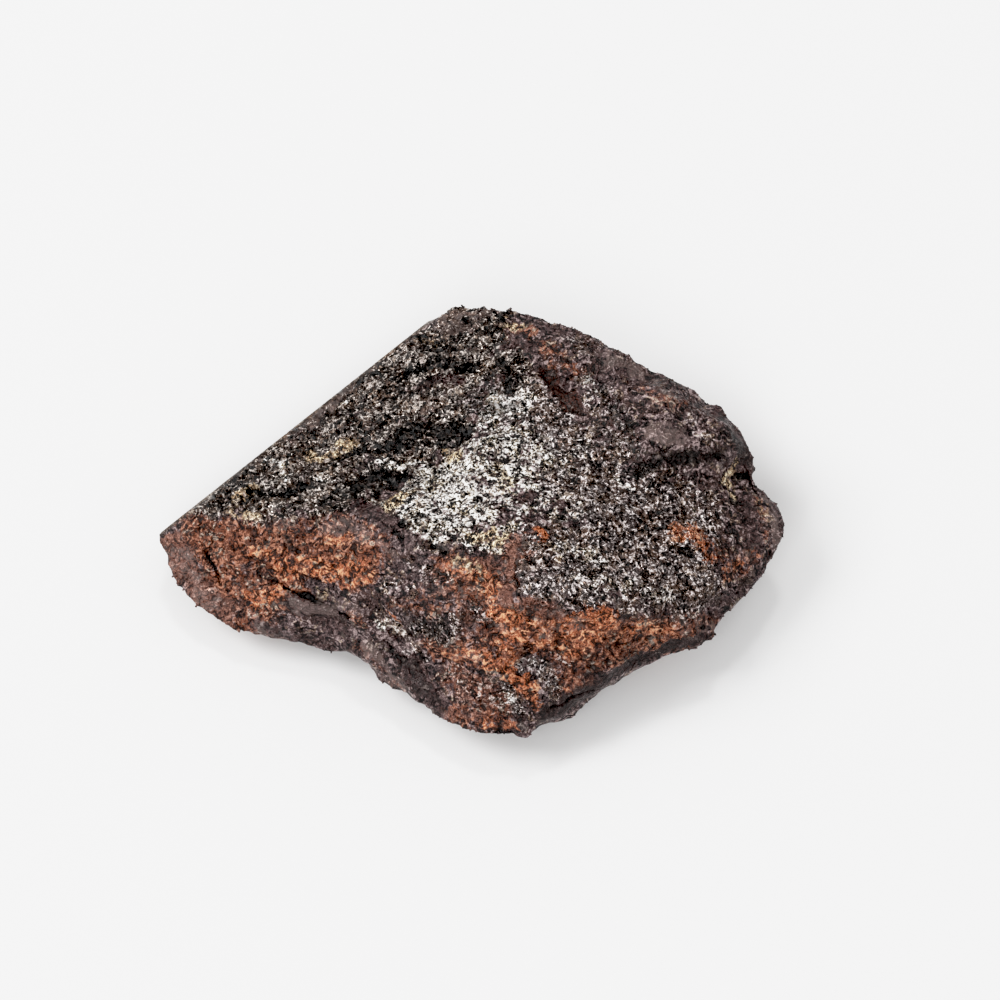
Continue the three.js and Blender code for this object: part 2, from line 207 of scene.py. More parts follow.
STROKES: dict[Zone, tuple[Stroke, ...]] = {
    # The broken slope along the sawn edge that turns away from the lamps: its own dark grains, with
    # painted shade.
    Zone.DARK: (
        Stroke(7, ((-25, 6.7), (-17.2, 11.9), (-9.2, 17.4), (-3.2, 21.4), (0.6, 23.4))),
        Stroke(6, ((-21, 6.2), (-14.2, 10.4), (-7.2, 14.4), (-2.2, 17.4), (1.3, 20.3))),
        Stroke(4.4, ((-17.2, 6.2), (-12.2, 6.9), (-7.2, 9.7), (-4, 12.3))),
        Stroke(3, ((-26.7, 5.3), (-23.2, 5.9), (-18.2, 5.4), (-14.2, 5.4), (-10.4, 5.7)), 0.9),
        Stroke(3, ((4.2, 20.3), (4.6, 18.5), (4, 16.7)), 0.9),
        Stroke(2.4, ((-1.7, 24.3), (0.8, 24.1), (2.8, 23.1)), 0.8),
        Stroke(4, ((-4.2, 15.9), (-2, 14.1), (-1.2, 12.7))),
        Stroke(1.6, ((-6.8, 3.9), (-5.4, 1.9), (-3.2, 1.1)), 0.55),
        Stroke(0.9, ((-2.6, 2.1), (0, 1.8)), 0.6),
    ),
    # Painted shade: near-black in the pits, and a band along the foot of the ledge.
    Zone.PITCH: (
        Stroke(2, ((-11.6, 7.5), (-9.2, 8.7), (-6.8, 8.1))),
        Stroke(1.5, ((-10, 6.5), (-8.2, 7.3), (-6.7, 8)), 0.6),
        Stroke(2, ((-7.2, 12.5), (-4.2, 12.9), (-0.6, 12.9)), 0.95),
        Stroke(1.4, ((-6.4, 18.9), (-3.2, 19.7), (0.2, 19.3)), 0.9),
        Stroke(1.2, ((-13.2, 10.1), (-10.6, 10.9), (-8, 11.3)), 0.8),
        Stroke(1.2, ((-22, 6.9), (-18.7, 6.7), (-16, 7.5)), 0.8),
        Stroke(1.2, ((-15.4, 5.6), (-13, 6.5), (-11, 6.3)), 0.7),
        Stroke(1, ((-4.4, 21.3), (-2, 20.7)), 0.5),
        Stroke(1, ((-1, 23.3), (1.2, 22.7)), 0.35),
        Stroke(1.4, ((3.2, 19.7), (3.8, 18.3), (3.6, 17.1)), 0.8),
        Stroke(1.2, ((16.8, 8.7), (18.8, 9.6), (21.8, 10.2), (24.6, 10.2)), 0.6),
        Stroke(0.7, ((13.4, 16.5), (14.6, 15.5)), 0.6),
        Stroke(0.8, ((14.8, 14.9), (16, 13.6), (17.8, 13.5)), 0.6),
        Stroke(0.8, ((26.5, 7.9), (27.4, 8.3)), 0.8),
        Stroke(0.8, ((26, 6), (26.7, 5.6)), 0.8),
        Stroke(0.9, ((20.2, 0.9), (21.7, 0.6)), 0.8),
        Stroke(0.8, ((-8.2, -9.1), (-6.8, -10.1)), 0.5),
        Stroke(0.7, ((-19, 2.7), (-18.2, 1.9), (-17.8, 0.9)), 0.6),
        Stroke(0.7, ((-7.2, 4.3), (-6.4, 3.3)), 0.9),
        Stroke(0.7, ((-6, 4.7), (-5, 4.3)), 0.8),
        Stroke(0.7, ((-4.2, 1.5), (-2.6, 1)), 0.8),
        Stroke(0.6, ((-4, 2.5), (-3.2, 2.1)), 0.8),
        Stroke(0.8, ((-7.6, 2.9), (-6.8, 1.5)), 0.8),
        Stroke(0.9, ((-16.6, 7.5), (-14.6, 7.9), (-12.8, 8.5)), 0.6),
        Stroke(1.3, ((-7.6, 11.3), (-4.2, 11.3), (-1.4, 11.9)), 0.7),
    ),
    # Painted reflection and glints over metal grains: the bright slope facing the lamps, and small glint
    # spots.
    Zone.SILVER_GLINT: (
        Stroke(4.6, ((-5.2, 6.5), (-2.6, 6.5), (0.2, 5.1))),
        Stroke(2.4, ((-6.2, 4.9), (-3.8, 3.7), (-1.6, 3.5)), 0.95),
        Stroke(1.3, ((-7, 6.1), (-6, 5.1)), 0.9),
        Stroke(1.4, ((-6, 3.5), (-4.2, 2.3), (-3.2, 1.9)), 0.8),
        Stroke(2, ((-6.8, 6.5), (-5, 5.7)), 0.8),
        Stroke(2.4, ((0.2, 1.9), (2.8, 1.4), (4, 2.9)), 0.7),
        Stroke(4.4, ((2, 13.9), (4.8, 12.4), (6.4, 9.9)), 0.55),
        Stroke(2.6, ((2.4, 16.1), (4.8, 15.5)), 0.75),
        Stroke(0.8, ((-8.6, 9.7), (-7.4, 9.3))),
        Stroke(0.7, ((-6, 9.9), (-5.2, 9.3)), 0.9),
        Stroke(0.9, ((-20.6, 9.9), (-18.4, 9.3)), 0.9),
        Stroke(0.7, ((-19.2, 8.5), (-18.2, 7.9)), 0.9),
        Stroke(0.7, ((-15, 8.1), (-14.2, 7.7)), 0.9),
        Stroke(0.7, ((-13, 15.5), (-12.4, 15.1)), 0.8),
        Stroke(0.7, ((-12, 13.3), (-11.2, 12.9)), 0.8),
        Stroke(0.7, ((-26.6, -2.9), (-26, -3.3)), 0.9),
        Stroke(0.7, ((-9.4, -6.3), (-8.6, -6.9)), 0.9),
        Stroke(0.7, ((-8, -7.1), (-7.4, -7.5)), 0.8),
        Stroke(0.8, ((14.8, 7.9), (16, 6.9)), 0.8),
        Stroke(0.7, ((5.4, -10.5), (6.6, -10.9)), 0.8),
        Stroke(0.8, ((3.4, -13.5), (4, -14.3)), 0.8),
        Stroke(0.8, ((11.2, 17.9), (12.4, 17.1)), 0.7),
        Stroke(0.7, ((22.1, 4.7), (22.8, 4.3)), 0.7),
        Stroke(4, ((-0.4, 10.9), (1.8, 10.9)), 0.6),
        Stroke(2, ((5.8, 5.4), (9.3, 4.4)), 0.35),
        Stroke(2.6, ((-4.8, 7.9), (-3.2, 8.9), (-2, 9.7))),
        Stroke(2.8, ((0.4, 8.9), (2.8, 8.7), (4.8, 8.9)), 0.95),
        Stroke(2.6, ((1.8, 7.1), (3.2, 6.1), (4.4, 5.1)), 0.6),
        Stroke(2, ((9, 1.1), (12.6, -0.1)), 0.5),
        Stroke(1.8, ((10.3, -1.6), (14.8, -3.1)), 0.35),
        Stroke(1.6, ((15.8, -2.6), (20, -4.1)), 0.35),
        Stroke(1.2, ((4.6, 7.5), (6.1, 7)), 0.8),
        Stroke(1, ((-9.4, 9.7), (-7.2, 9.3))),
        Stroke(1.1, ((-6, 9.6), (-3.8, 9.1)), 0.7),
        Stroke(1, ((-9.6, 5.6), (-8.4, 4.9)), 0.7),
        Stroke(1.4, ((-5.4, 7.8), (-4, 7.3))),
        Stroke(3.4, ((-5.6, 7.3), (-3.2, 8.2), (-0.8, 9))),
        Stroke(2.4, ((1.4, 11.6), (2.8, 11.9), (4.2, 11.3))),
        Stroke(2.2, ((2.8, 7.9), (4.4, 7.3)), 0.7),
        Stroke(1.2, ((-8.8, 5.3), (-7.6, 5.3))),
        Stroke(2.6, ((4.6, 7.3), (7.3, 6.3), (10.4, 4.9)), 0.4),
        Stroke(2.4, ((9, 9.1), (10.8, 11.5)), 0.4),
    ),
    Zone.GREY: (
        Stroke(7, ((4, 15.5), (8.4, 11.9), (12.8, 7.5))),
        Stroke(8.8, ((9.8, 8.9), (14.8, 4.9), (20, 2.9))),
        Stroke(8, ((11.8, 0.7), (16.8, -0.9), (21.2, -2.1))),
        Stroke(5.6, ((8, 1.4), (9.4, -1.6), (11.8, -3.1)), 0.9),
        Stroke(5, ((16.8, 7.1), (21.2, 5.9), (23.2, 3.9)), 0.85),
        Stroke(3.6, ((12.8, 15.9), (14.4, 13.5), (15.4, 10.9)), 0.6),
        Stroke(2, ((10, 21.9), (12, 20.7)), 0.6),
        Stroke(1.4, ((11, 17.9), (12.8, 17.1)), 0.7),
        Stroke(2, ((21.8, 14.4), (23.4, 12.4)), 0.35),
        Stroke(6, ((-17.2, 11.9), (-12.2, 14.9), (-7.2, 16.4)), 0.8),
        Stroke(3.4, ((-5.2, 15.9), (-2.2, 16.4), (0.8, 16.7)), 0.7),
        Stroke(3.4, ((-1.6, -11.7), (0.8, -12.9), (2.8, -14.1)), 0.42),
        Stroke(2, ((4, -13.1), (4.6, -14.9)), 0.8),
        Stroke(1.6, ((-8.8, -6.1), (-6.8, -7.5)), 0.8),
        Stroke(1.4, ((-6.7, -9.1), (-4.7, -9.7)), 0.7),
        Stroke(2, ((-8.6, -2.7), (-6.8, -3.3)), 0.6),
        Stroke(2.2, ((-5.8, -6.9), (-3.2, -7.5), (-2, -6.7)), 0.7),
        Stroke(1.8, ((-0.2, -5.1), (1.8, -5.7)), 0.7),
        Stroke(1.8, ((5.2, -10.5), (7.6, -11.3), (8.4, -13.1)), 0.8),
        Stroke(1.2, ((7.8, -9.6), (9.8, -10.1)), 0.5),
        Stroke(2, ((-6, -0.7), (-3.2, -1.9)), 0.5),
        Stroke(2.2, ((14.8, -4.5), (18.8, -4.5), (21.8, -4.3)), 0.7),
        Stroke(1.4, ((25.6, 2.9), (26.4, 1.9)), 0.5),
        Stroke(3, ((-2.4, 15.5), (0.8, 15.7), (2.8, 14.7)), 0.7),
        Stroke(3, ((5.4, -1.5), (6.8, -3.1)), 0.9),
        Stroke(1.4, ((-3.6, 22.7), (-1, 23.9), (1.2, 23.7)), 0.6),
        Stroke(1.3, ((-17.8, 12.3), (-15.2, 14.7), (-12.6, 16.9)), 0.7),
        Stroke(1.4, ((5.8, 5.3), (8.8, 4.3)), 0.5),
    ),
    Zone.RUST: (
        Stroke(5.6, ((-27.2, 1.9), (-21.2, 1.4), (-15.2, 0.7), (-11.6, -0.1))),
        Stroke(4.4, ((-24.6, -2.1), (-22.2, -3.1), (-18.2, -3.7)), 0.9),
        Stroke(2.6, ((-22.7, -5.3), (-20.2, -5.7)), 0.7),
        Stroke(4, ((-29.2, 1.4), (-28.2, -1.6)), 0.55),
        Stroke(4, ((-14.2, 3.1), (-11.2, 2.4), (-9.4, 1.1)), 0.6),
        Stroke(4, ((-2.6, -1.1), (0.8, -3.1), (3.8, -6.1)), 0.9),
        Stroke(5.6, ((2.8, -6.3), (8.8, -7.7), (14.8, -8.1), (20.8, -7.3))),
        Stroke(3.4, ((2.8, -0.6), (5.8, 1.4)), 0.9),
        Stroke(4, ((-3.6, -8.9), (-0.2, -9.6), (3.8, -9.1)), 0.8),
        Stroke(4, ((-5.2, -4.1), (-1.2, -5.6), (0.8, -7.1)), 0.55),
        Stroke(2.4, ((8.8, -10.1), (12.8, -10.1), (16.8, -9.3)), 0.9),
        Stroke(2.6, ((8.8, -12.5), (11.3, -11.5)), 0.9),
        Stroke(2.2, ((-1.6, -15.3), (1.8, -15.9)), 0.9),
        Stroke(4.4, ((20.6, 3.3), (22.8, 1.9), (24, 0.7)), 0.5),
        Stroke(2.2, ((25, -1.3), (27, -1.1), (28, 0.3)), 0.6),
        Stroke(2.2, ((28.4, 5.1), (29.6, 2.4)), 0.5),
        Stroke(1.6, ((3.6, 22.9), (5.8, 22.7)), 0.7),
        Stroke(2, ((7.3, 21.4), (8.4, 19.7)), 0.6),
        Stroke(1.4, ((9.4, 19.3), (11, 18.1)), 0.7),
        Stroke(2.6, ((16.8, 17.4), (20.8, 15.9)), 0.45),
        Stroke(1.4, ((-12.4, -5.3), (-10, -7.3)), 0.5),
        Stroke(2, ((-7.7, -4.1), (-5.2, -5.1)), 0.5),
        Stroke(3, ((16.8, -6.1), (21.8, -6.1), (24, -6.9)), 0.5),
        Stroke(3, ((8.8, -4.1), (12.8, -4.5)), 0.35),
        Stroke(1.4, ((-11.2, -8.7), (-8.8, -11.3), (-7.2, -13.1)), 0.5),
        Stroke(3, ((-29.6, 1.9), (-28.8, -0.7), (-27.2, -3.1)), 0.6),
        Stroke(2.4, ((-0.2, -0.1), (2.8, -0.1), (4, -2.1)), 0.5),
        Stroke(3.4, ((-1.6, -11.7), (0.8, -13.1), (2.8, -14.5)), 0.8),
    ),
    Zone.ORANGE: (
        Stroke(2, ((-18.8, -1.1), (-14.7, -0.7), (-11, -1.3)), 0.75),
        Stroke(0.9, ((-14.6, -2.3), (-12.7, -2.5), (-10.2, -1.8)), 0.8),
        Stroke(1.2, ((-22.2, 0.7), (-18.7, 0.3)), 0.7),
        Stroke(1.2, ((-14.2, 1.9), (-11.2, 1.9)), 0.6),
        Stroke(1.4, ((-22.2, -3.7), (-20.2, -4.1), (-19.4, -3.1)), 0.8),
        Stroke(1.6, ((-2.2, -0.7), (-0.2, -1.3)), 0.85),
        Stroke(1.8, ((1, -2.3), (2.2, -3.3), (2.6, -4.3)), 0.75),
        Stroke(2.4, ((2.6, -4.7), (3.8, -6.3), (5, -7.1)), 0.95),
        Stroke(3.2, ((7.4, -7.3), (9, -6.7), (10, -7.7))),
        Stroke(2.6, ((11, -6.5), (12.4, -5.9), (14, -6.5))),
        Stroke(1.6, ((8.8, -9.1), (10.8, -8.7), (12.8, -7.7)), 0.75),
        Stroke(1.8, ((3.6, -7.1), (3.4, -8.6), (3.6, -9.9)), 0.95),
        Stroke(1.4, ((-2.6, -9.5), (0.4, -9.7), (2.8, -10.1)), 0.8),
        Stroke(1.8, ((3.2, -10.5), (4.8, -12.1), (5.8, -13.5))),
        Stroke(1.4, ((5.8, -13.7), (6.8, -14.7)), 0.8),
        Stroke(1, ((1.8, -16.5), (3.3, -16.8), (4.6, -16.6)), 0.9),
        Stroke(1.2, ((6.4, 2.7), (7.2, 2.1))),
        Stroke(2.2, ((20.8, 2.7), (23.2, 1.9), (23.6, 0.7)), 0.6),
        Stroke(1.2, ((15.3, -6.9), (17.8, -6.7), (19.8, -7.3)), 0.6),
        Stroke(1.4, ((25.2, -1.5), (26.6, -0.9)), 0.6),
        Stroke(1.2, ((9.4, -12.9), (10.4, -12.3)), 0.6),
        Stroke(0.8, ((-8, -5.3), (-6.8, -6.7)), 0.6),
        Stroke(2.6, ((8.4, -6.9), (10.6, -6.1), (13.2, -6.1))),
    ),
    Zone.OCHRE: (
        Stroke(1.6, ((-23.2, 6.3), (-21.6, 7.1))),
        Stroke(1.2, ((-13.2, 11.7), (-12.2, 11.2))),
        Stroke(1.4, ((-16.2, 10.1), (-13.7, 10.3)), 0.7),
        Stroke(1.4, ((2.6, 9.1), (3.6, 7.1)), 0.5),
        Stroke(1.2, ((-24, 4.5), (-21.6, 4.3)), 0.7),
        Stroke(1.2, ((-1.7, -0.1), (0, -1.1)), 0.6),
        Stroke(0.8, ((8, 1.1), (8.8, -0.1)), 0.35),
        Stroke(1, ((-4.7, 21.9), (-3.8, 21.5)), 0.5),
        Stroke(1.2, ((3.6, 23.3), (5.2, 22.9)), 0.5),
        Stroke(1.2, ((-7.2, -6.3), (-6.4, -7.3)), 0.5),
        Stroke(1, ((-15.6, -3.1), (-14.8, -3.5)), 0.4),
        Stroke(1.2, ((28.8, 5.1), (29.8, 3.9)), 0.35),
        Stroke(1.1, ((26.3, 9.8), (25.6, 8.6), (25.4, 7.5))),
        Stroke(1.6, ((-8.8, 4.9), (-8, 5.6), (-7.3, 6.3))),
        Stroke(1.2, ((3.4, 2.3), (3.8, 1.7), (4.2, 1.4))),
        Stroke(1.6, ((0.6, 2.1), (1.8, 2.5), (2.5, 1.5)), 0.95),
        Stroke(1.3, ((-2.6, 10.6), (-1.4, 10.2)), 0.9),
        Stroke(0.9, ((25.8, 7.3), (26, 6))),
    ),
    Zone.HOLLOW: (
        Stroke(1.8, ((7.6, 18.7), (8.6, 17.4), (10, 15.7))),
        Stroke(2.4, ((8.4, 17.3), (10.2, 15.5))),
    ),
    Zone.SMOOTH: (
        Stroke(2.4, ((25, 14.5), (26.6, 12.3), (27.8, 9.3))),
        Stroke(1.4, ((-5.2, 17.1), (-3.2, 17.9), (-1.2, 17.9)), 0.7),
        Stroke(1.2, ((3, 21.3), (6.4, 21.3)), 0.7),
        Stroke(2, ((-11.2, 5.4), (-9.6, 4.7), (-8, 3.3)), 0.9),
        Stroke(1.6, ((-7.7, 3.9), (-6, 1.4)), 0.6),
        Stroke(3.4, ((-17.6, -4.7), (-15.2, -5.3), (-13.2, -6.3)), 0.7),
        Stroke(1.4, ((-21, -6.7), (-17.2, -7.9), (-14.2, -8.5)), 0.7),
        Stroke(2.2, ((7.6, -15.7), (10, -14.1), (12.8, -12.5))),
        Stroke(1.6, ((13.2, -12.1), (15.8, -10.5), (19.8, -8.9), (23.2, -7.8))),
        Stroke(2.2, ((-6.7, -10.3), (-5.2, -12.7), (-3.2, -14.7)), 0.9),
        Stroke(1.6, ((-10.7, -8.6), (-8.7, -10.9), (-7.2, -12.5)), 0.3),
        Stroke(2.2, ((18.3, 12.9), (21.2, 12.1)), 0.4),
        Stroke(1.6, ((4.4, 1.9), (4, -0.6), (3.6, -2.6)), 0.9),
        Stroke(1.4, ((5.4, -4.5), (8, -5.1)), 0.8),
        Stroke(1.4, ((1.3, -0.1), (2.8, -0.9)), 0.7),
        Stroke(1.4, ((4.4, -15.6), (5.2, -16.9)), 0.6),
        Stroke(1.8, ((29, 7.1), (30.4, 4.7), (30.6, 2.5)), 0.6),
        Stroke(2, ((12.8, 19.1), (15, 18.7)), 0.6),
        Stroke(1.6, ((23.4, -4.1), (25.6, -4.1)), 0.5),
        Stroke(1.4, ((9.8, -12.5), (11.8, -11.7)), 0.5),
        Stroke(2.4, ((-29.2, -1.1), (-28.2, -3.1), (-26.6, -4.3)), 0.45),
        Stroke(2, ((27.2, 5.9), (28, 3.9), (28.4, 1.4)), 0.7),
        Stroke(1.4, ((16.4, 18.7), (18.8, 16.9)), 0.5),
        Stroke(0.9, ((12.4, 20.7), (16.4, 18.7), (20.2, 16.4), (23.6, 14.8)), 0.6),
        Stroke(0.9, ((5.8, 23.7), (9.4, 22.4), (12.2, 20.9)), 0.55),
        Stroke(0.9, ((-21, -7.5), (-17.2, -8.7), (-13.6, -9.3)), 0.5),
        Stroke(0.8, ((28, 6.9), (30, 5.1), (31.1, 2.7)), 0.5),
        Stroke(0.8, ((31.1, 1.9), (29.8, -1.3), (27.4, -4.1)), 0.5),
        Stroke(0.8, ((26.8, -4.7), (24.4, -7.3)), 0.5),
    ),
    # Painted shade: strokes over the lower lip, under the ledge, in valleys and other shaded places.
    Zone.SHADE: (
        Stroke(2, ((7.6, -15.7), (10, -14.1), (12.8, -12.5))),
        Stroke(1.8, ((-6.8, -10.5), (-5.4, -12.7), (-3.8, -14.5)), 0.8),
        Stroke(2, ((16.8, 8.9), (19.3, 9.8), (22, 10.2), (25, 10.3)), 0.95),
        Stroke(1.4, ((25, 13.9), (26.6, 11.5), (27.7, 9.5)), 0.8),
        Stroke(1.6, ((13.2, 16.9), (14.8, 14.9), (16.2, 13.3)), 0.5),
        Stroke(1.6, ((-13.2, -5.9), (-12, -7.7), (-10, -9.5)), 0.35),
        Stroke(2.6, ((16.8, -9.3), (12.8, -10.9)), 0.5),
        Stroke(1.2, ((-21, -6.9), (-17.2, -8.3), (-13.2, -8.9)), 0.3),
        Stroke(1.4, ((4.4, -15.3), (5.2, -16.7)), 0.6),
        Stroke(1.4, ((-19.2, -3.1), (-16.2, -4.3), (-13.2, -5.3)), 0.2),
        Stroke(2, ((-6.2, -5.9), (-3.2, -7.3)), 0.6),
        Stroke(3, ((16.8, 10.9), (13.8, 12.9)), 0.35),
        Stroke(2.6, ((13.8, 4.7), (17.8, 5.1)), 0.35),
        Stroke(1.4, ((29.2, -0.1), (26.8, -3.3)), 0.5),
        Stroke(2.2, ((22.8, -3.7), (25.8, -4.7)), 0.3),
        Stroke(1.2, ((-9.6, 4.7), (-7.6, 2.7)), 0.3),
        Stroke(1.4, ((4.4, -8.5), (5.8, -9.3)), 0.5),
        Stroke(2, ((-8.8, -8.7), (-7.4, -10.1)), 0.4),
        Stroke(1.4, ((8.8, 17.4), (9.4, 16.4)), 0.4),
        Stroke(1.6, ((16.8, -8.1), (21.8, -8.1)), 0.3),
        Stroke(2, ((27.2, 5.9), (27.8, 2.9)), 0.4),
        Stroke(1.2, ((-18.6, -3.1), (-16.2, -4), (-13.6, -5.2)), 0.4),
        Stroke(2.2, ((8.8, -4.9), (14.8, -8.1), (18.8, -8.1)), 0.12),
        Stroke(2, ((-3.2, -4.1), (-0.2, -7.1)), 0.25),
        Stroke(1.8, ((-27.2, 1.9), (-25.7, -0.1), (-24.2, -1.6)), 0.12),
        Stroke(1.2, ((-18.8, 2.3), (-18, 1.1)), 0.5),
        Stroke(1.6, ((-17.6, -3.3), (-14.6, -4.4), (-12.4, -5.9)), 0.45),
        Stroke(1.6, ((12.8, 17.4), (14.6, 13.9), (16.8, 10.4)), 0.4),
        Stroke(1.5, ((13.2, -12.1), (15.8, -10.5), (19.8, -8.9), (22, -8.2))),
        Stroke(2.2, ((13, 7.1), (16, 5.9)), 0.35),
        Stroke(1.4, ((10.4, -13.1), (13.8, -11.3), (17, -10)), 0.5),
        Stroke(1.2, ((-7.6, 11.9), (-4.2, 10.9)), 0.2),
        Stroke(1.8, ((-3.2, -5.9), (-2, -8.1), (-2.4, -10.9)), 0.35),
        Stroke(2, ((2.8, -10.9), (5.8, -11.3), (8.8, -12.3)), 0.12),
        Stroke(1.6, ((6.8, -9.6), (10.3, -9.6)), 0.3),
        Stroke(1.6, ((12.8, -9.6), (17.8, -8.1)), 0.4),
        Stroke(1.4, ((-1.2, 15.5), (1, 15.5)), 0.6),
        Stroke(1.4, ((-22, 8.1), (-21, 7.1), (-19, 7.9)), 0.5),
        Stroke(1.2, ((-22.2, 10.7), (-21, 11.5)), 0.4),
        Stroke(1.6, ((1.2, 14.9), (3.8, 15.3)), 0.8),
        Stroke(1.6, ((-6.8, 11.1), (-4.2, 10.7)), 0.3),
        Stroke(1.4, ((-11.2, 9.3), (-9.6, 8.9)), 0.5),
        Stroke(1.4, ((-28.8, 5.1), (-27.2, 5.5)), 0.7),
        Stroke(1.4, ((-14.6, 7.5), (-13.2, 6.9)), 0.3),
        Stroke(1.4, ((-21, 11.5), (-19.8, 10.9)), 0.3),
        Stroke(1.4, ((7.4, 11.3), (8.4, 10.7)), 0.3),
        Stroke(1.4, ((16, -10.5), (17.8, -10.1)), 0.3),
        Stroke(1.2, ((11, -14.7), (12.4, -14.5)), 0.3),
        Stroke(1.4, ((-0.8, 21.3), (0.4, 20.9)), 0.5),
        Stroke(1.4, ((17, 11.5), (18.4, 10.7)), 0.3),
        Stroke(1, ((-7, 8.3), (-5.8, 8.7)), 0.45),
        Stroke(1.2, ((27.4, 8.7), (28.5, 7.2)), 0.7),
        Stroke(1.6, ((-23.2, 5.3), (-21, 4.7)), 0.35),
        Stroke(1.4, ((-26.8, 5.3), (-25.8, 4.7)), 0.4),
        Stroke(1.4, ((-21, 3.3), (-19.6, 2.9)), 0.35),
        Stroke(1.8, ((1.2, 16.7), (4, 17.3)), 0.6),
        Stroke(1.4, ((-1, 11.2), (0.2, 10.5)), 0.45),
        Stroke(1.4, ((-21, 10.9), (-19.6, 9.3)), 0.4),
        Stroke(1.4, ((-12.8, 9.5), (-10, 8.5)), 0.4),
        Stroke(1.4, ((15.2, -10.5), (17.8, -9.7)), 0.4),
        Stroke(1.2, ((10.8, -13.7), (12.6, -12.9)), 0.4),
        Stroke(1.4, ((7.2, 11.9), (8.4, 12.9)), 0.45),
    ),
    # Paler patches of the stone, and painted light along lit rims and edges such as the lower-left rim.
    Zone.PALE_AND_LIT: (
        Stroke(2, ((18.3, 12.7), (21, 12.1)), 0.95),
        Stroke(1, ((-25, 4.3), (-22.2, 4.1), (-18.2, 3.5)), 0.45),
        Stroke(1.6, ((-14.6, 2.9), (-12.2, 3.3), (-10.6, 2.1)), 0.8),
        Stroke(1, ((-9.2, 1.4), (-7.6, 0.3)), 0.9),
        Stroke(1, ((-8.8, -6.1), (-6.8, -8.1)), 0.8),
        Stroke(1.4, ((16.8, 17.9), (20.8, 16.3)), 0.4),
        Stroke(1.4, ((4.8, -1.1), (6.4, -1.5)), 0.6),
        Stroke(1.2, ((-1.7, -9.6), (0.6, -9.9)), 0.5),
        Stroke(1, ((1.2, -3.9), (2.4, -4.1)), 0.5),
        Stroke(1, ((29, 5.9), (30.2, 3.5)), 0.8),
        Stroke(2.4, ((-17.2, -5.1), (-14.6, -5.3)), 0.95),
        Stroke(1, ((-0.2, -14.1), (1.8, -14.3)), 0.2),
        Stroke(1.2, ((-6.8, -8.1), (-5.2, -8.7)), 0.5),
        Stroke(1, ((-12.8, -4.5), (-11.8, -4.9)), 0.7),
        Stroke(2.4, ((-29, -0.1), (-28, -2.6), (-26.4, -4.1)), 0.65),
        Stroke(1.6, ((13.2, 20.2), (16.8, 18.5), (20, 16.6)), 0.6),
        Stroke(1, ((-10.6, -8.5), (-8.8, -10.5), (-7.4, -12.1)), 0.95),
        Stroke(1.2, ((29.6, 3.9), (30.5, 1.9)), 0.8),
        Stroke(1, ((-22, -5.1), (-20.8, -7.1), (-18.8, -8.1)), 0.5),
        Stroke(1.2, ((-18.2, 11.9), (-15.2, 14.6), (-12.4, 16.9)), 0.8),
        Stroke(1.2, ((-3.4, 23.5), (-1, 24.5), (1.4, 24.3)), 0.8),
        Stroke(2, ((7.4, -6.9), (10.8, -6.3)), 0.6),
        Stroke(1.4, ((3.6, -7.3), (3.6, -9.3)), 0.4),
        Stroke(1.4, ((-2.6, -0.7), (-0.2, -1.5)), 0.4),
        Stroke(1.2, ((6.8, -6.1), (8.8, -5.3)), 0.45),
        Stroke(1.4, ((12.8, -4.1), (16.8, -4.7)), 0.4),
        Stroke(1.6, ((20.4, 15.7), (22.8, 13.9)), 0.2),
        Stroke(1.4, ((16.8, 16.7), (19.2, 15.5)), 0.15),
        Stroke(1.8, ((-23.2, -2.3), (-21, -3.3)), 0.35),
        Stroke(1.4, ((-19.2, -4.1), (-17.6, -4.7)), 0.3),
        Stroke(1.4, ((30.8, 1.7), (31.2, 0.7)), 0.7),
        Stroke(1.4, ((-2.8, 22.9), (-0.2, 23.1)), 0.9),
        Stroke(1.2, ((-16.8, 13.1), (-15.4, 13.3)), 0.8),
        Stroke(1.4, ((20.8, 15.3), (22.2, 14.7)), 0.15),
        Stroke(1.4, ((21.2, -6.7), (24, -6.9)), 0.7),
        Stroke(1.4, ((19, -4.9), (21.2, -5.3)), 0.5),
        Stroke(1.4, ((-22.6, -2.7), (-20.8, -3.3)), 0.35),
        Stroke(1.4, ((9.2, 5.3), (10.8, 4.9)), 0.35),
        Stroke(1.4, ((1.4, -6.5), (2.8, -6.9)), 0.65),
        Stroke(1.4, ((-12.2, 13.1), (-10, 13.5)), 0.5),
        Stroke(1.2, ((-5.2, 14.9), (-4, 15.1)), 0.4),
        Stroke(1, ((1.2, 25), (2.6, 24.6)), 0.8),
        Stroke(1.4, ((25.2, -6.3), (23.6, -7.5)), 0.4),
        Stroke(1.2, ((11.4, 20.7), (14, 19.7), (16.4, 18.3)), 0.5),
        Stroke(1.2, ((27, 0.3), (28.4, -1.5)), 0.5),
        Stroke(1.8, ((-4.8, -2.9), (-0.2, -3.3)), 0.4),
        Stroke(1.2, ((-10.8, -10.5), (-9.4, -11.9), (-6.8, -12.9)), 0.7),
    ),
    # Painted shade: near-black along the cracks pressed into the skin.
    Zone.CRACK: (
        Stroke(0.65, ((-20.8, -1.8), (-18.6, -2.9), (-16.8, -3.5), (-14.6, -4.5), (-12.2, -6.1))),
        Stroke(0.5, ((-27, 1.5), (-26.3, -0.1), (-25.5, -1.5), (-25.1, -2.9))),
        Stroke(0.4, ((-9.4, -7.7), (-7.4, -9.7)), 0.6),
        Stroke(0.4, ((-6, -10.1), (-4.4, -12.5)), 0.5),
        Stroke(0.4, ((13.4, 16.9), (15.2, 15.3)), 0.6),
        Stroke(0.4, ((16.2, 14.5), (18, 14), (20.8, 13.9)), 0.6),
        Stroke(0.35, ((23, 14.5), (23.9, 12.9), (23.6, 11.3)), 0.5),
        Stroke(0.4, ((6.2, 0.5), (4.6, -0.3), (4.2, -2.1), (4.8, -4.1)), 0.8),
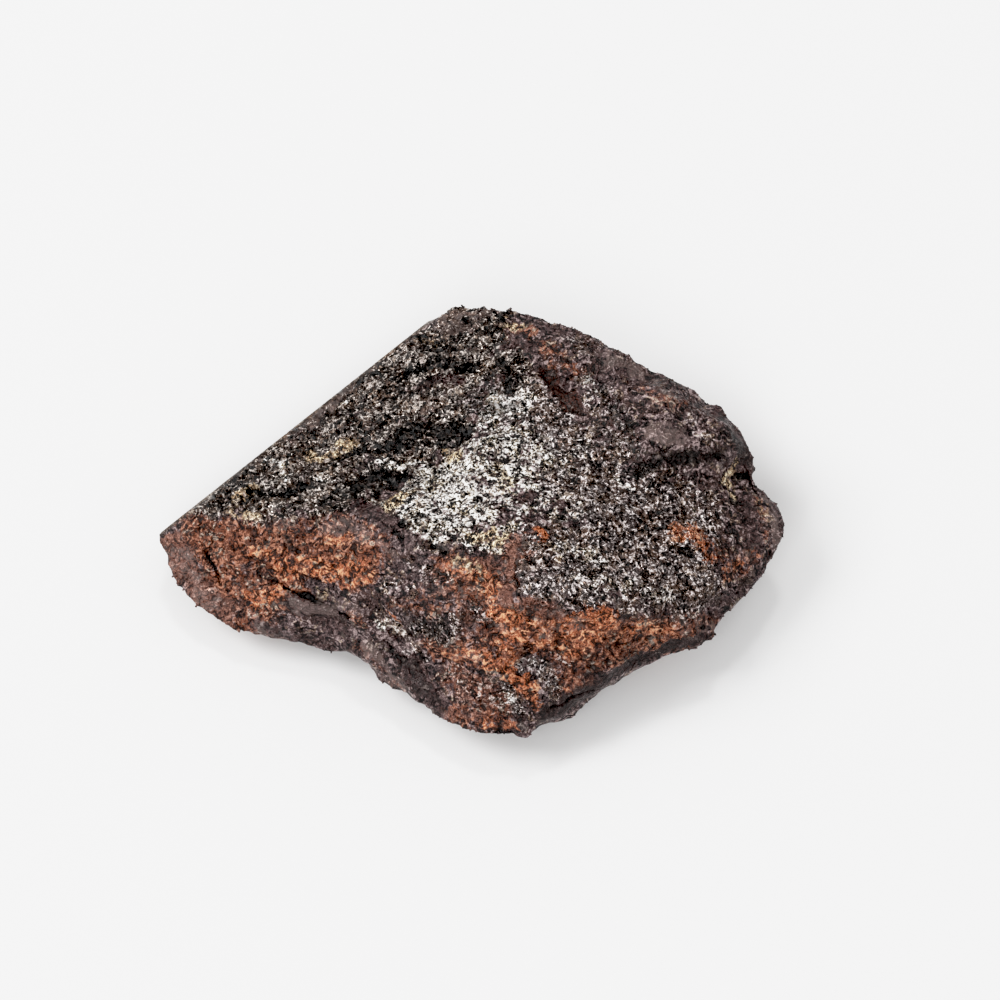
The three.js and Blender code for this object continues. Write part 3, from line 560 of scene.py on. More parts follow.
        Stroke(0.35, ((-3.6, -8.1), (-2.8, -10.1)), 0.5),
        Stroke(0.35, ((-12.2, 4.1), (-10.2, 2.9), (-9.4, 1.4)), 0.7),
        Stroke(0.35, ((-10.8, 5.1), (-8.8, 3.5), (-7, 2.8)), 0.5),
        Stroke(0.35, ((5.2, -5.7), (6, -6.7)), 0.6),
        Stroke(0.4, ((13, -12.9), (10, -13.8), (7.6, -15.4)), 0.7),
        Stroke(0.4, ((27.1, 10.1), (27.8, 7.9), (28.5, 6.1)), 0.6),
        Stroke(0.35, ((23, -0.3), (24.8, -1.7), (26.6, -3.5)), 0.5),
        Stroke(0.4, ((10, 15.1), (11.6, 14.3)), 0.7),
        Stroke(0.35, ((12.8, 15.9), (14.8, 14.7)), 0.7),
        Stroke(0.3, ((17.4, 11.9), (19.2, 10.7), (20.8, 11.7)), 0.6),
        Stroke(0.35, ((1.4, -9.7), (2.8, -10.9), (4, -12.5)), 0.5),
        Stroke(0.4, ((-17.6, 2.3), (-18.6, 1.3), (-19, 0.3)), 0.7),
    ),
    # Grains placed where glints show: real grains, whose bright tone is a painted glint.
    Zone.GLINT_FLAKE: (
        Stroke(0.9, ((-8.6, 9.8), (-7.4, 9.4))),
        Stroke(0.8, ((-6.8, 3.6), (-6, 3.2))),
        Stroke(1.4, ((-4.8, 3.9), (-3.4, 2.5))),
        Stroke(0.9, ((-6.2, 5.4), (-5.4, 5.1)), 0.9),
        Stroke(1.2, ((-3.2, 6.1), (-1.6, 4.7)), 0.8),
        Stroke(0.9, ((-2.6, 1.9), (-1.6, 1.6)), 0.9),
        Stroke(1.2, ((-1.2, 8.9), (0.4, 7.9)), 0.7),
        Stroke(1, ((-20.4, 9.9), (-18.2, 9.5)), 0.8),
        Stroke(0.8, ((-19.2, 8.5), (-18.2, 7.9)), 0.8),
        Stroke(0.7, ((-13.1, 15.6), (-12.4, 15.1)), 0.8),
        Stroke(0.7, ((-12, 13.3), (-11.2, 12.9)), 0.8),
        Stroke(0.8, ((-9.6, -6.4), (-8.8, -6.7)), 0.9),
        Stroke(0.7, ((-8, -7.1), (-7.5, -7.5)), 0.9),
        Stroke(0.7, ((-26.6, -2.9), (-26, -3.3)), 0.9),
        Stroke(0.8, ((14.8, 8.1), (16, 7.1)), 0.8),
        Stroke(0.8, ((22.1, 4.7), (22.9, 4.3)), 0.8),
        Stroke(0.8, ((11.2, 17.8), (12, 17.3)), 0.7),
        Stroke(0.8, ((5.4, -10.5), (6.4, -10.9)), 0.8),
        Stroke(0.8, ((3.2, -13.5), (3.9, -14.3)), 0.7),
        Stroke(0.8, ((1.2, -12.5), (2, -12.9)), 0.7),
        Stroke(1, ((2.8, 15.9), (4.4, 14.9)), 0.6),
        Stroke(1, ((8.8, 8.9), (10.8, 5.9)), 0.5),
        Stroke(1, ((12.4, 1.9), (14.8, 1.1)), 0.5),
        Stroke(0.8, ((-9, 0.6), (-8.2, -0.1)), 0.6),
        Stroke(0.8, ((-15.2, 8.1), (-14.2, 7.7)), 0.6),
    ),
    Zone.BROWN: (
        Stroke(1.7, ((4, 1.6), (3.8, -1.1), (3.3, -4.1)), 0.95),
        Stroke(1.5, ((5, -4.3), (6.8, -4.8), (8.6, -5.4)), 0.9),
        Stroke(1.3, ((0.8, -0.1), (2.6, -1.4)), 0.8),
        Stroke(1, ((-2, -15.2), (0.8, -15.7)), 0.7),
        Stroke(1, ((8.4, -13.3), (10.8, -12.7), (12.8, -12.2)), 0.6),
        Stroke(1.2, ((-1, -3.1), (-0.2, -5.3), (-0.2, -7.3)), 0.6),
        Stroke(1.2, ((-3.2, -2.9), (-2, -4.1)), 0.5),
        Stroke(1.4, ((-1, -13.1), (0.4, -14.1), (1.8, -14.9)), 0.5),
        Stroke(1.6, ((-1.4, -11.3), (0.8, -12.1), (2.8, -13.1)), 0.4),
        Stroke(3, ((-29.6, 1.3), (-28.8, -1.1), (-27.2, -3.3), (-25, -5.3)), 0.9),
        Stroke(0.9, ((-3.2, -14.9), (-1, -16.7), (1.4, -17.3)), 0.5),
        Stroke(1.2, ((-30.9, 1.5), (-29.8, -2.5), (-26.6, -5.9), (-23.2, -7.3)), 0.7),
    ),
}

HIDDEN_DABS: dict[Zone, tuple[Dab, ...]] = {
    Zone.RUST: (
        Dab(12.0, (20.0, 13.0, 5.0)),
        Dab(9.0, (3.0, 21.0, 6.0)),
        Dab(14.0, (-6.0, 0.0, 0.0)),
        Dab(10.0, (16.0, -9.0, 1.0)),
        Dab(8.0, (29.0, 3.0, 4.0)),
        Dab(9.0, (-22.0, -8.0, 1.0)),
    ),
    Zone.ORANGE: (
        Dab(5.0, (22.0, 12.0, 6.0)),
        Dab(4.0, (6.0, 20.0, 7.0)),
        Dab(7.0, (-2.0, 3.0, 0.0)),
        Dab(4.0, (18.0, -10.0, 1.5)),
    ),
    Zone.GREY: (
        Dab(7.0, (12.0, 17.5, 6.0)),
        Dab(8.0, (8.0, -2.0, 0.0)),
    ),
}


# ---- The stone's own surface ----


@dataclass(frozen=True)
class Relief:
    """One layer of relief: its pattern, its size across and its depth, in millimetres."""

    pattern: str
    size: float
    depth: float
    group: str
    level: float = 0.5
    settings: tuple[tuple[str, object], ...] = ()


RELIEF: tuple[Relief, ...] = (
    Relief("CLOUDS", 2.8, 0.7, "broken", settings=(("noise_depth", 1),)),
    Relief("VORONOI", 1.7, 0.36, "rough", level=0.45),
    Relief("VORONOI", 1.1, -0.18, "crusty", level=0.4),
    Relief("MUSGRAVE", 1.3, 0.24, "rusty", settings=(("musgrave_type", "RIDGED_MULTIFRACTAL"),)),
    Relief("CLOUDS", 0.8, 0.32, "rough", settings=(("noise_depth", 1),)),
    Relief("CLOUDS", 0.5, 0.3, "granular", settings=(("noise_depth", 0),)),
)


@dataclass(frozen=True)
class Brush:
    """How far a brush's border wanders, in millimetres, and how softly it runs out.

    Nearness is 1 in the middle of a touch and 0 at its half width. The border sways over a few
    millimetres and trembles over less than one. The cover is nothing where nearness is `faint`,
    and whole where it is `full`.
    """

    sway: float
    tremble: float
    faint: float
    full: float


SOFT_BRUSH = Brush(sway=0.55, tremble=0.45, faint=-0.45, full=0.5)
SHARP_BRUSH = Brush(sway=0.25, tremble=0.2, faint=-0.2, full=0.6)


@dataclass
class Stone:
    """The stone's skin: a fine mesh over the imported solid, with its relief and its zones.

    A pair of numbers says where something starts and where it is whole. A slope is the upward
    share of the direction in which a corner faces. Lengths are in millimetres.
    """

    sight: SightLine
    voxel: float = 0.235
    softening: int = 6
    kept_share: float = 0.8
    thinned_slopes: tuple[float, float] = (-0.1, 0.25)
    saw_normal: tuple[float, float, float] = (-0.620, 0.661, 0.423)
    flat_margin: float = 0.12
    relief_margin: float = 0.8
    sawn_edge: float = 0.1
    sawn_rim: float = 0.4
    border_seed: int = 5
    sway_size: float = 2.2
    tremble_size: float = 0.7
    touch_step: float = 0.25
    thin_end: float = 0.35
    band_heading: tuple[float, float, float] = (0.73, 0.68, 0.0)
    band_length: float = 4.2
    band_width: float = 1.3
    band_edges: tuple[float, float] = (-0.22, 0.3)
    bed_slopes: tuple[float, float] = (-0.4, 0.1)
    top_slopes: tuple[float, float] = (0.0, 0.5)
    foot: tuple[float, float] = (0.4, 1.2)
    pitch_bareness: float = 0.7
    stillness: float = 0.8
    crust_roughness: float = 0.6
    pitch_depth: float = 0.45
    crack_depth: float = 0.5
    orange_height: float = 0.12
    hollow_depth: float = 0.4
    tallest_crest: float = 0.42
    proud_height: float = 0.3
    piece: bpy.types.Object = field(init=False)
    solid: BVHTree = field(init=False)
    masks: dict[Zone, np.ndarray] = field(init=False, default_factory=dict)
    bands: np.ndarray = field(init=False)

    def build(self) -> bpy.types.Object:
        """Model the stone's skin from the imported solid.

        Returns:
            The finished piece, with one attribute for each zone.
        """
        self.piece = self._copy_of_solid()
        self._soften()
        self._thin_underside()
        self._unwrap()
        self._paint()
        self._press_relief()
        select_only(self.piece)
        bpy.ops.object.shade_smooth()
        return self.piece

    def _copy_of_solid(self) -> bpy.types.Object:
        """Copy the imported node, merge its loose corners and remesh it evenly.

        Returns:
            The new object.
        """
        source = frame["nodes"][NODE]
        piece = bpy.data.objects.new("stone", source.data.copy())
        piece.data.name = "stone"
        piece.data.materials.clear()
        bpy.context.scene.collection.objects.link(piece)
        select_only(piece)
        bpy.ops.object.mode_set(mode="EDIT")
        bpy.ops.mesh.select_all(action="SELECT")
        bpy.ops.mesh.remove_doubles(threshold=0.001 * MM)
        bpy.ops.object.mode_set(mode="OBJECT")
        self.solid = BVHTree.FromPolygons(
            [v.co / MM for v in piece.data.vertices],
            [tuple(p.vertices) for p in piece.data.polygons],
        )
        apply_modifier(piece, "REMESH", mode="VOXEL", voxel_size=self.voxel * MM)
        return piece

    def _places(self) -> np.ndarray:
        """Read where the piece's corners are.

        Returns:
            A row of three coordinates for each corner, in millimetres.
        """
        flat = np.empty(3 * len(self.piece.data.vertices), dtype=np.float32)
        self.piece.data.vertices.foreach_get("co", flat)
        return flat.reshape(-1, 3).astype(float) / MM

    def _normals(self) -> np.ndarray:
        """Read which way the piece's corners face.

        Returns:
            A unit vector for each corner.
        """
        flat = np.empty(3 * len(self.piece.data.vertices), dtype=np.float32)
        self.piece.data.vertex_normals.foreach_get("vector", flat)
        return flat.reshape(-1, 3).astype(float)

    def _sawn_depth(self, places: np.ndarray) -> np.ndarray:
        """Measure how far each place lies inside the sawn plane, in millimetres."""
        along = places @ np.array(self.saw_normal)
        return along.max() - along

    def _uncut(self, places: np.ndarray, reach: float) -> np.ndarray:
        """Tell the stone's natural faces from its sawn face and its resting face.

        Args:
            places: The place of each corner, in millimetres.
            reach: How far from both flat faces a corner is wholly on natural stone.

        Returns:
            0 on the flat faces and 1 on natural stone, for each corner.
        """
        flat = np.minimum(self._sawn_depth(places), places[:, 2])
        return smooth_step(flat, self.flat_margin, reach)

    def _weigh(self, name: str, weights: np.ndarray, steps: int = 24) -> None:
        """Make a vertex group of the given weights.

        Args:
            name: The group's name.
            weights: A weight from 0 to 1 for each corner.
            steps: How many different weights the group keeps.
        """
        group = self.piece.vertex_groups.new(name=name)
        level = np.rint(weights * steps).astype(int)
        for step in range(1, steps + 1):
            corners = np.nonzero(level == step)[0]
            if len(corners):
                group.add(corners.tolist(), step / steps, "REPLACE")

    def _keep(self, name: str, values: np.ndarray) -> None:
        """Keep a number for each corner on the mesh."""
        attribute = self.piece.data.attributes.new(name, "FLOAT", "POINT")
        attribute.data.foreach_set("value", values.astype(np.float32))

    def _soften(self) -> None:
        """Round the solid's facets off, but keep its sawn face and its resting face flat."""
        self._weigh("uncut", self._uncut(self._places(), 3 * self.flat_margin))
        apply_modifier(
            self.piece, "SMOOTH", factor=0.5, iterations=self.softening, vertex_group="uncut"
        )
        self.piece.vertex_groups.clear()

    def _thin_underside(self) -> None:
        """Leave the faces that look down coarser than those that look up."""
        downward = smooth_step(-self._normals()[:, 2], *self.thinned_slopes)
        self._weigh("underside", downward)
        apply_modifier(
            self.piece,
            "DECIMATE",
            ratio=self.kept_share,
            vertex_group="underside",
            vertex_group_factor=1.0,
        )
        self.piece.vertex_groups.clear()

    def _unwrap(self) -> None:
        """Lay the skin out flat in a few large charts, while it is still smooth."""
        select_only(self.piece)
        self.piece.data.uv_layers.new(name="OFBake")
        bpy.ops.object.mode_set(mode="EDIT")
        bpy.ops.mesh.select_all(action="SELECT")
        bpy.ops.uv.smart_project(angle_limit=math.radians(66.0), island_margin=0.004)
        bpy.ops.object.mode_set(mode="OBJECT")

    def _touches(self, stroke: Stroke, taper: bool) -> list[tuple[Vector, float]]:
        """Drop a stroke's path on the stone.

        Args:
            stroke: The stroke to drop.
            taper: Whether the stroke runs out thin at both ends.

        Returns:
            The places on the stone that the brush touches, in millimetres, with its half width.
        """
        legs = list(zip(stroke.path, stroke.path[1:]))
        length = sum(math.dist(start, end) for start, end in legs)
        found = []
        gone = 0.0
        for start, end in legs:
            leg = math.dist(start, end)
            count = max(1, math.ceil(leg / (self.touch_step * stroke.width)))
            for i in range(count + 1):
                t = i / count
                across = start[0] + t * (end[0] - start[0])
                up = start[1] + t * (end[1] - start[1])
                hit = self.solid.ray_cast(self.sight.eye, self.sight.seen_at(across, up))[0]
                if hit is not None:
                    middle = math.sin(math.pi * (gone + t * leg) / length)
                    share = self.thin_end + (1.0 - self.thin_end) * middle if taper else 1.0
                    found.append((hit, 0.5 * stroke.width * share))
            gone += leg
        return found

    def _cover(self, moved: np.ndarray, spots: list[tuple[Vector, float]], brush: Brush) -> np.ndarray:
        """Work out how well one stroke or dab covers each corner.

        Args:
            moved: The place of each corner, as the wandering border shifts it.
            spots: The places that the brush touches, with its half width.
            brush: The brush.

        Returns:
            A cover from 0 to 1 for each corner.
        """
        nearness = np.full(len(moved), -math.inf)
        for spot, half in spots:
            distance = np.sqrt(((moved - np.array(spot)) ** 2).sum(1))
            nearness = np.maximum(nearness, 1.0 - distance / half)
        return smooth_step(nearness, brush.faint, brush.full)

    def _paint(self) -> None:
        """Work out each zone's mask from its strokes, and keep it as an attribute."""
        places = self._places()
        noise.seed_set(self.border_seed)
        sway = np.array([noise.noise_vector(Vector(p) / self.sway_size) for p in places])
        tremble = np.array([noise.noise_vector(Vector(p) / self.tremble_size) for p in places])
        for zone in Zone:
            thin = zone is Zone.CRACK
            brush = SHARP_BRUSH if thin else SOFT_BRUSH
            moved = places + (brush.sway * sway + brush.tremble * tremble)
            marks = [(s.strength, self._touches(s, thin)) for s in STROKES.get(zone, ())]
            marks += [(1.0, [(Vector(d.at), 0.5 * d.width)]) for d in HIDDEN_DABS.get(zone, ())]
            mask = np.zeros(len(places))
            for strength, spots in marks:
                mask = np.maximum(mask, strength * self._cover(moved, spots, brush))
            self.masks[zone] = mask
        depth = self._sawn_depth(places)
        self.masks[Zone.SAWN] = 1.0 - smooth_step(depth, self.sawn_edge, self.sawn_rim)
        for zone, mask in self.masks.items():
            self._keep(zone.value, mask)
        self._keep_bands(places)
        self._keep_beds(places, depth)

    def _keep_bands(self, places: np.ndarray) -> None:
        """Work out the dark and bright bands that run along the sawn edge.

        Args:
            places: The place of each corner, in millimetres.
        """
        along, across = np.array(self.band_heading), np.array(self.saw_normal)
        stretched = np.stack(
            [
                places @ along / self.band_length,
                places @ across / self.band_width,
                places[:, 2] / self.band_width,
            ],
            axis=1,
        )
        waves = np.array([noise.noise(Vector(p)) for p in stretched])
        self.bands = smooth_step(waves, *self.band_edges)
        self._keep("bands", self.bands)

    def _grounds(self) -> tuple[np.ndarray, np.ndarray]:
        """Join the zones of broken grains, and those of rust beyond them.

        Returns:
            How granular and how rusty each corner is, from 0 to 1.
        """
        mask = self.masks
        granular = np.maximum.reduce([mask[Zone.DARK], mask[Zone.SILVER_GLINT], mask[Zone.GREY]])
        rusty = np.maximum(mask[Zone.RUST], mask[Zone.ORANGE]) * (1.0 - granular)
        return granular, rusty

    def _keep_beds(self, places: np.ndarray, depth: np.ndarray) -> None:
        """Work out where the loose grains of each kind lie.

        Args:
            places: The place of each corner, in millimetres.
            depth: How far each corner lies inside the sawn plane, in millimetres.
        """
        mask = self.masks
        rise = self._normals()[:, 2]
        open_ground = smooth_step(depth, self.sawn_rim, 2.0 * self.sawn_rim)
        open_ground *= smooth_step(places[:, 2], *self.foot) * smooth_step(rise, *self.bed_slopes)
        open_ground *= 1.0 - np.maximum(mask[Zone.CRACK], self.pitch_bareness * mask[Zone.PITCH])
        on_top = smooth_step(rise, *self.top_slopes)
        bare = np.maximum.reduce([mask[Zone.SMOOTH], mask[Zone.BROWN], mask[Zone.HOLLOW]])
        granular, rusty = self._grounds()
        beds = {
            "dark": mask[Zone.DARK] * (0.5 + 0.5 * self.bands),
            "silver": mask[Zone.SILVER_GLINT] * (1.0 - mask[Zone.DARK]),
            "flake": mask[Zone.GLINT_FLAKE],
            "grey": mask[Zone.GREY] * (1.0 - np.maximum(mask[Zone.DARK], mask[Zone.SILVER_GLINT])),
            "rust": on_top * rusty * (1.0 - bare),
            "crust": on_top * (1.0 - granular) * (1.0 - rusty) * (1.0 - bare),
        }
        for name, share in beds.items():
            self._keep(f"{name}_bed", open_ground * share)

    def _press_relief(self) -> None:
        """Press lumps, chips, grit and cracks into the skin, each in its own zones."""
        before, outward = self._places(), self._normals()
        for name, weight in self._relief_weights(before).items():
            self._weigh(name, weight)
        for name, height in (
            ("sunken", -self.pitch_depth),
            ("raised", self.orange_height),
            ("hollowed", -self.hollow_depth),
            ("cracked", -self.crack_depth),
        ):
            apply_modifier(
                self.piece, "DISPLACE", strength=height * MM, mid_level=0.0, vertex_group=name
            )
        for i, layer in enumerate(RELIEF):
            self._displace(layer, f"relief_{i}")
        self.piece.vertex_groups.clear()
        after = self._places()
        height = ((after - before) * outward).sum(1)
        after -= outward * np.maximum(height - self.tallest_crest, 0.0)[:, None]
        after[:, 2] = np.maximum(after[:, 2], 0.0)
        self.piece.data.vertices.foreach_set("co", (after * MM).astype(np.float32).reshape(-1))
        self.piece.data.update()
        # Keep how far each corner stands over its neighbours; the finish uses it to paint shade into
        # pits and light onto crests.
        self._keep("pit_shade_crest_light", self._standing(((after - before) * outward).sum(1)))

    def _relief_weights(self, places: np.ndarray) -> dict[str, np.ndarray]:
        """Work out how strongly each kind of relief is pressed into each corner.

        Args:
            places: The place of each corner, in millimetres.

        Returns:
            For each kind of relief, a weight from 0 to 1 for each corner.
        """
        mask = self.masks
        uncut = self._uncut(places, self.relief_margin)
        granular, rusty = self._grounds()
        level_ground = [mask[kind] for kind in (Zone.HOLLOW, Zone.SMOOTH, Zone.BROWN, Zone.PITCH)]
        still = 1.0 - self.stillness * np.maximum.reduce(level_ground)
        rough = self.crust_roughness + (1.0 - self.crust_roughness) * granular
        return {
            "broken": uncut,
            "rough": uncut * still * rough,
            "granular": uncut * granular * still,
            "rusty": uncut * rusty * still,
            "crusty": uncut * (1.0 - granular) * still,
            "cracked": uncut * mask[Zone.CRACK],
            "sunken": uncut * mask[Zone.PITCH],
            "raised": uncut * mask[Zone.ORANGE],
            "hollowed": uncut * mask[Zone.HOLLOW],
        }

    def _displace(self, layer: Relief, name: str) -> None:
        """Press one layer of relief into the skin.

        Args:
            layer: The layer.
            name: A name for its pattern.
        """
        pattern = bpy.data.textures.new(name, layer.pattern)
        pattern.noise_scale = layer.size * MM
        for setting, value in layer.settings:
            setattr(pattern, setting, value)
        apply_modifier(
            self.piece,
            "DISPLACE",
            texture=pattern,
            texture_coords="LOCAL",
            strength=layer.depth * MM,
            mid_level=layer.level,
            vertex_group=layer.group,
        )

    def _standing(self, height: np.ndarray, rounds: int = 14) -> np.ndarray:
        """Tell how far each corner stands over the corners round it.

        Args:
            height: The relief at each corner, in millimetres.
            rounds: How many times the relief is averaged over neighbours.

        Returns:
            About 0 in pits, 0.5 on even ground and 1 on crests.
        """
        ends = np.empty(2 * len(self.piece.data.edges), dtype=np.int32)
        self.piece.data.edges.foreach_get("vertices", ends)
        one, other = ends.reshape(-1, 2).T
        count = np.bincount(one, minlength=len(height)) + np.bincount(other, minlength=len(height))
        level = height
        for _ in range(rounds):
            total = np.bincount(one, level[other], len(height))
            total += np.bincount(other, level[one], len(height))
            level = 0.5 * level + 0.5 * total / count
        return np.clip(0.5 + (height - level) / self.proud_height, 0.0, 1.0)


# ---- Node trees ----


Socket = bpy.types.NodeSocket
Colour = tuple[float, float, float, float]


@dataclass(frozen=True)
class Bench:
    """A node tree, with short ways to add nodes to it and join them."""

    tree: bpy.types.NodeTree

    def join(self, node: bpy.types.Node, inputs: dict[str | int, object]) -> None:
        """Set the inputs of a node.

        Args:
            node: The node.
            inputs: For each input, by name or number, the socket to join to it or its value.
        """
        for key, value in inputs.items():
            if isinstance(value, Socket):
                self.tree.links.new(value, node.inputs[key])
            else:
                node.inputs[key].default_value = value

    def node(
        self, kind: str, inputs: dict[str | int, object], **settings: object
    ) -> bpy.types.Node:
        """Add a node.

        Args:
            kind: Blender's name for the kind of node.
            inputs: For each input, by name or number, the socket to join to it or its value.
            **settings: The node's own settings.

        Returns:
            The new node.
        """
        node = self.tree.nodes.new(kind)
        for name, value in settings.items():
            setattr(node, name, value)
        self.join(node, inputs)
        return node

    def group(self, tree: bpy.types.NodeTree, inputs: dict[str | int, object]) -> bpy.types.Node:
        """Place a node group, with its own values."""
        return self.node("ShaderNodeGroup", inputs, node_tree=tree)

    def attribute(self, name: str) -> Socket:
        """Read a number kept on the mesh."""
        return self.node("ShaderNodeAttribute", {}, attribute_name=name).outputs["Fac"]

    def sum(self, operation: str, *terms: Socket | float) -> Socket:
        """Work out a number from other numbers."""
        return self.node("ShaderNodeMath", dict(enumerate(terms)), operation=operation).outputs[0]

    def pile(self, base: float, *layers: tuple[Socket, Socket | float]) -> Socket:
        """Add layers to a base, each times its weight.

        Args:
            base: What the pile starts from.
            *layers: Each layer with its weight.

        Returns:
            The sum.
        """
        total: Socket | float = base
        for layer, weight in layers:
            total = self.sum("MULTIPLY_ADD", layer, weight, total)
        return total

    def vector(self, operation: str, *terms: Socket | tuple) -> Socket:
        """Work out a vector from other vectors."""
        inputs = dict(enumerate(terms))
        return self.node("ShaderNodeVectorMath", inputs, operation=operation).outputs[0]

    def scaled(self, vector: Socket, scale: Socket | float) -> Socket:
        """Make a vector longer or shorter."""
        inputs = {0: vector, "Scale": scale}
        return self.node("ShaderNodeVectorMath", inputs, operation="SCALE").outputs[0]

    def ease(
        self,
        value: Socket,
        low: Socket | float,
        high: Socket | float,
        bottom: float = 0.0,
        top: float = 1.0,
    ) -> Socket:
        """Ease a value between two numbers.

        Args:
            value: The value to ease.
            low: Where the result is at its bottom.
            high: Where the result is at its top.
            bottom: The result at low.
            top: The result at high.

        Returns:
            The eased value.
        """
        inputs = {
            "Value": value,
            "From Min": low,
            "From Max": high,
            "To Min": bottom,
            "To Max": top,
        }
        node = self.node("ShaderNodeMapRange", inputs, interpolation_type="SMOOTHSTEP")
        return node.outputs["Result"]

    def mix(
        self,
        share: Socket,
        first: Socket | Colour | float,
        second: Socket | Colour | float,
        kind: str = "RGBA",
    ) -> Socket:
        """Mix two colours, or two of another kind of value.

        Args:
            share: How much of the second there is, from 0 to 1.
            first: The first value.
            second: The second value.
            kind: Blender's name for the kind of value.

        Returns:
            The mixed value.
        """
        inputs = {"Factor": share, "A": first, "B": second}
        return self.node("ShaderNodeMix", inputs, data_type=kind).outputs["Result"]

    def blend(self, share: Socket, first: Socket | float, second: Socket | float) -> Socket:
        """Mix two numbers."""
        return self.mix(share, first, second, "FLOAT")

    def turn(self, share: Socket, first: Socket, second: Socket) -> Socket:
        """Mix two directions."""
        return self.mix(share, first, second, "VECTOR")

    def chance(self, kind: str, low: object, high: object, seed: int) -> Socket:
        """Draw a number or a vector between two others for each grain, from a seed."""
        inputs = {"Min": low, "Max": high, "Seed": seed}
        return self.node("FunctionNodeRandomValue", inputs, data_type=kind).outputs["Value"]


# ---- Mineral grains bedded in the broken faces ----


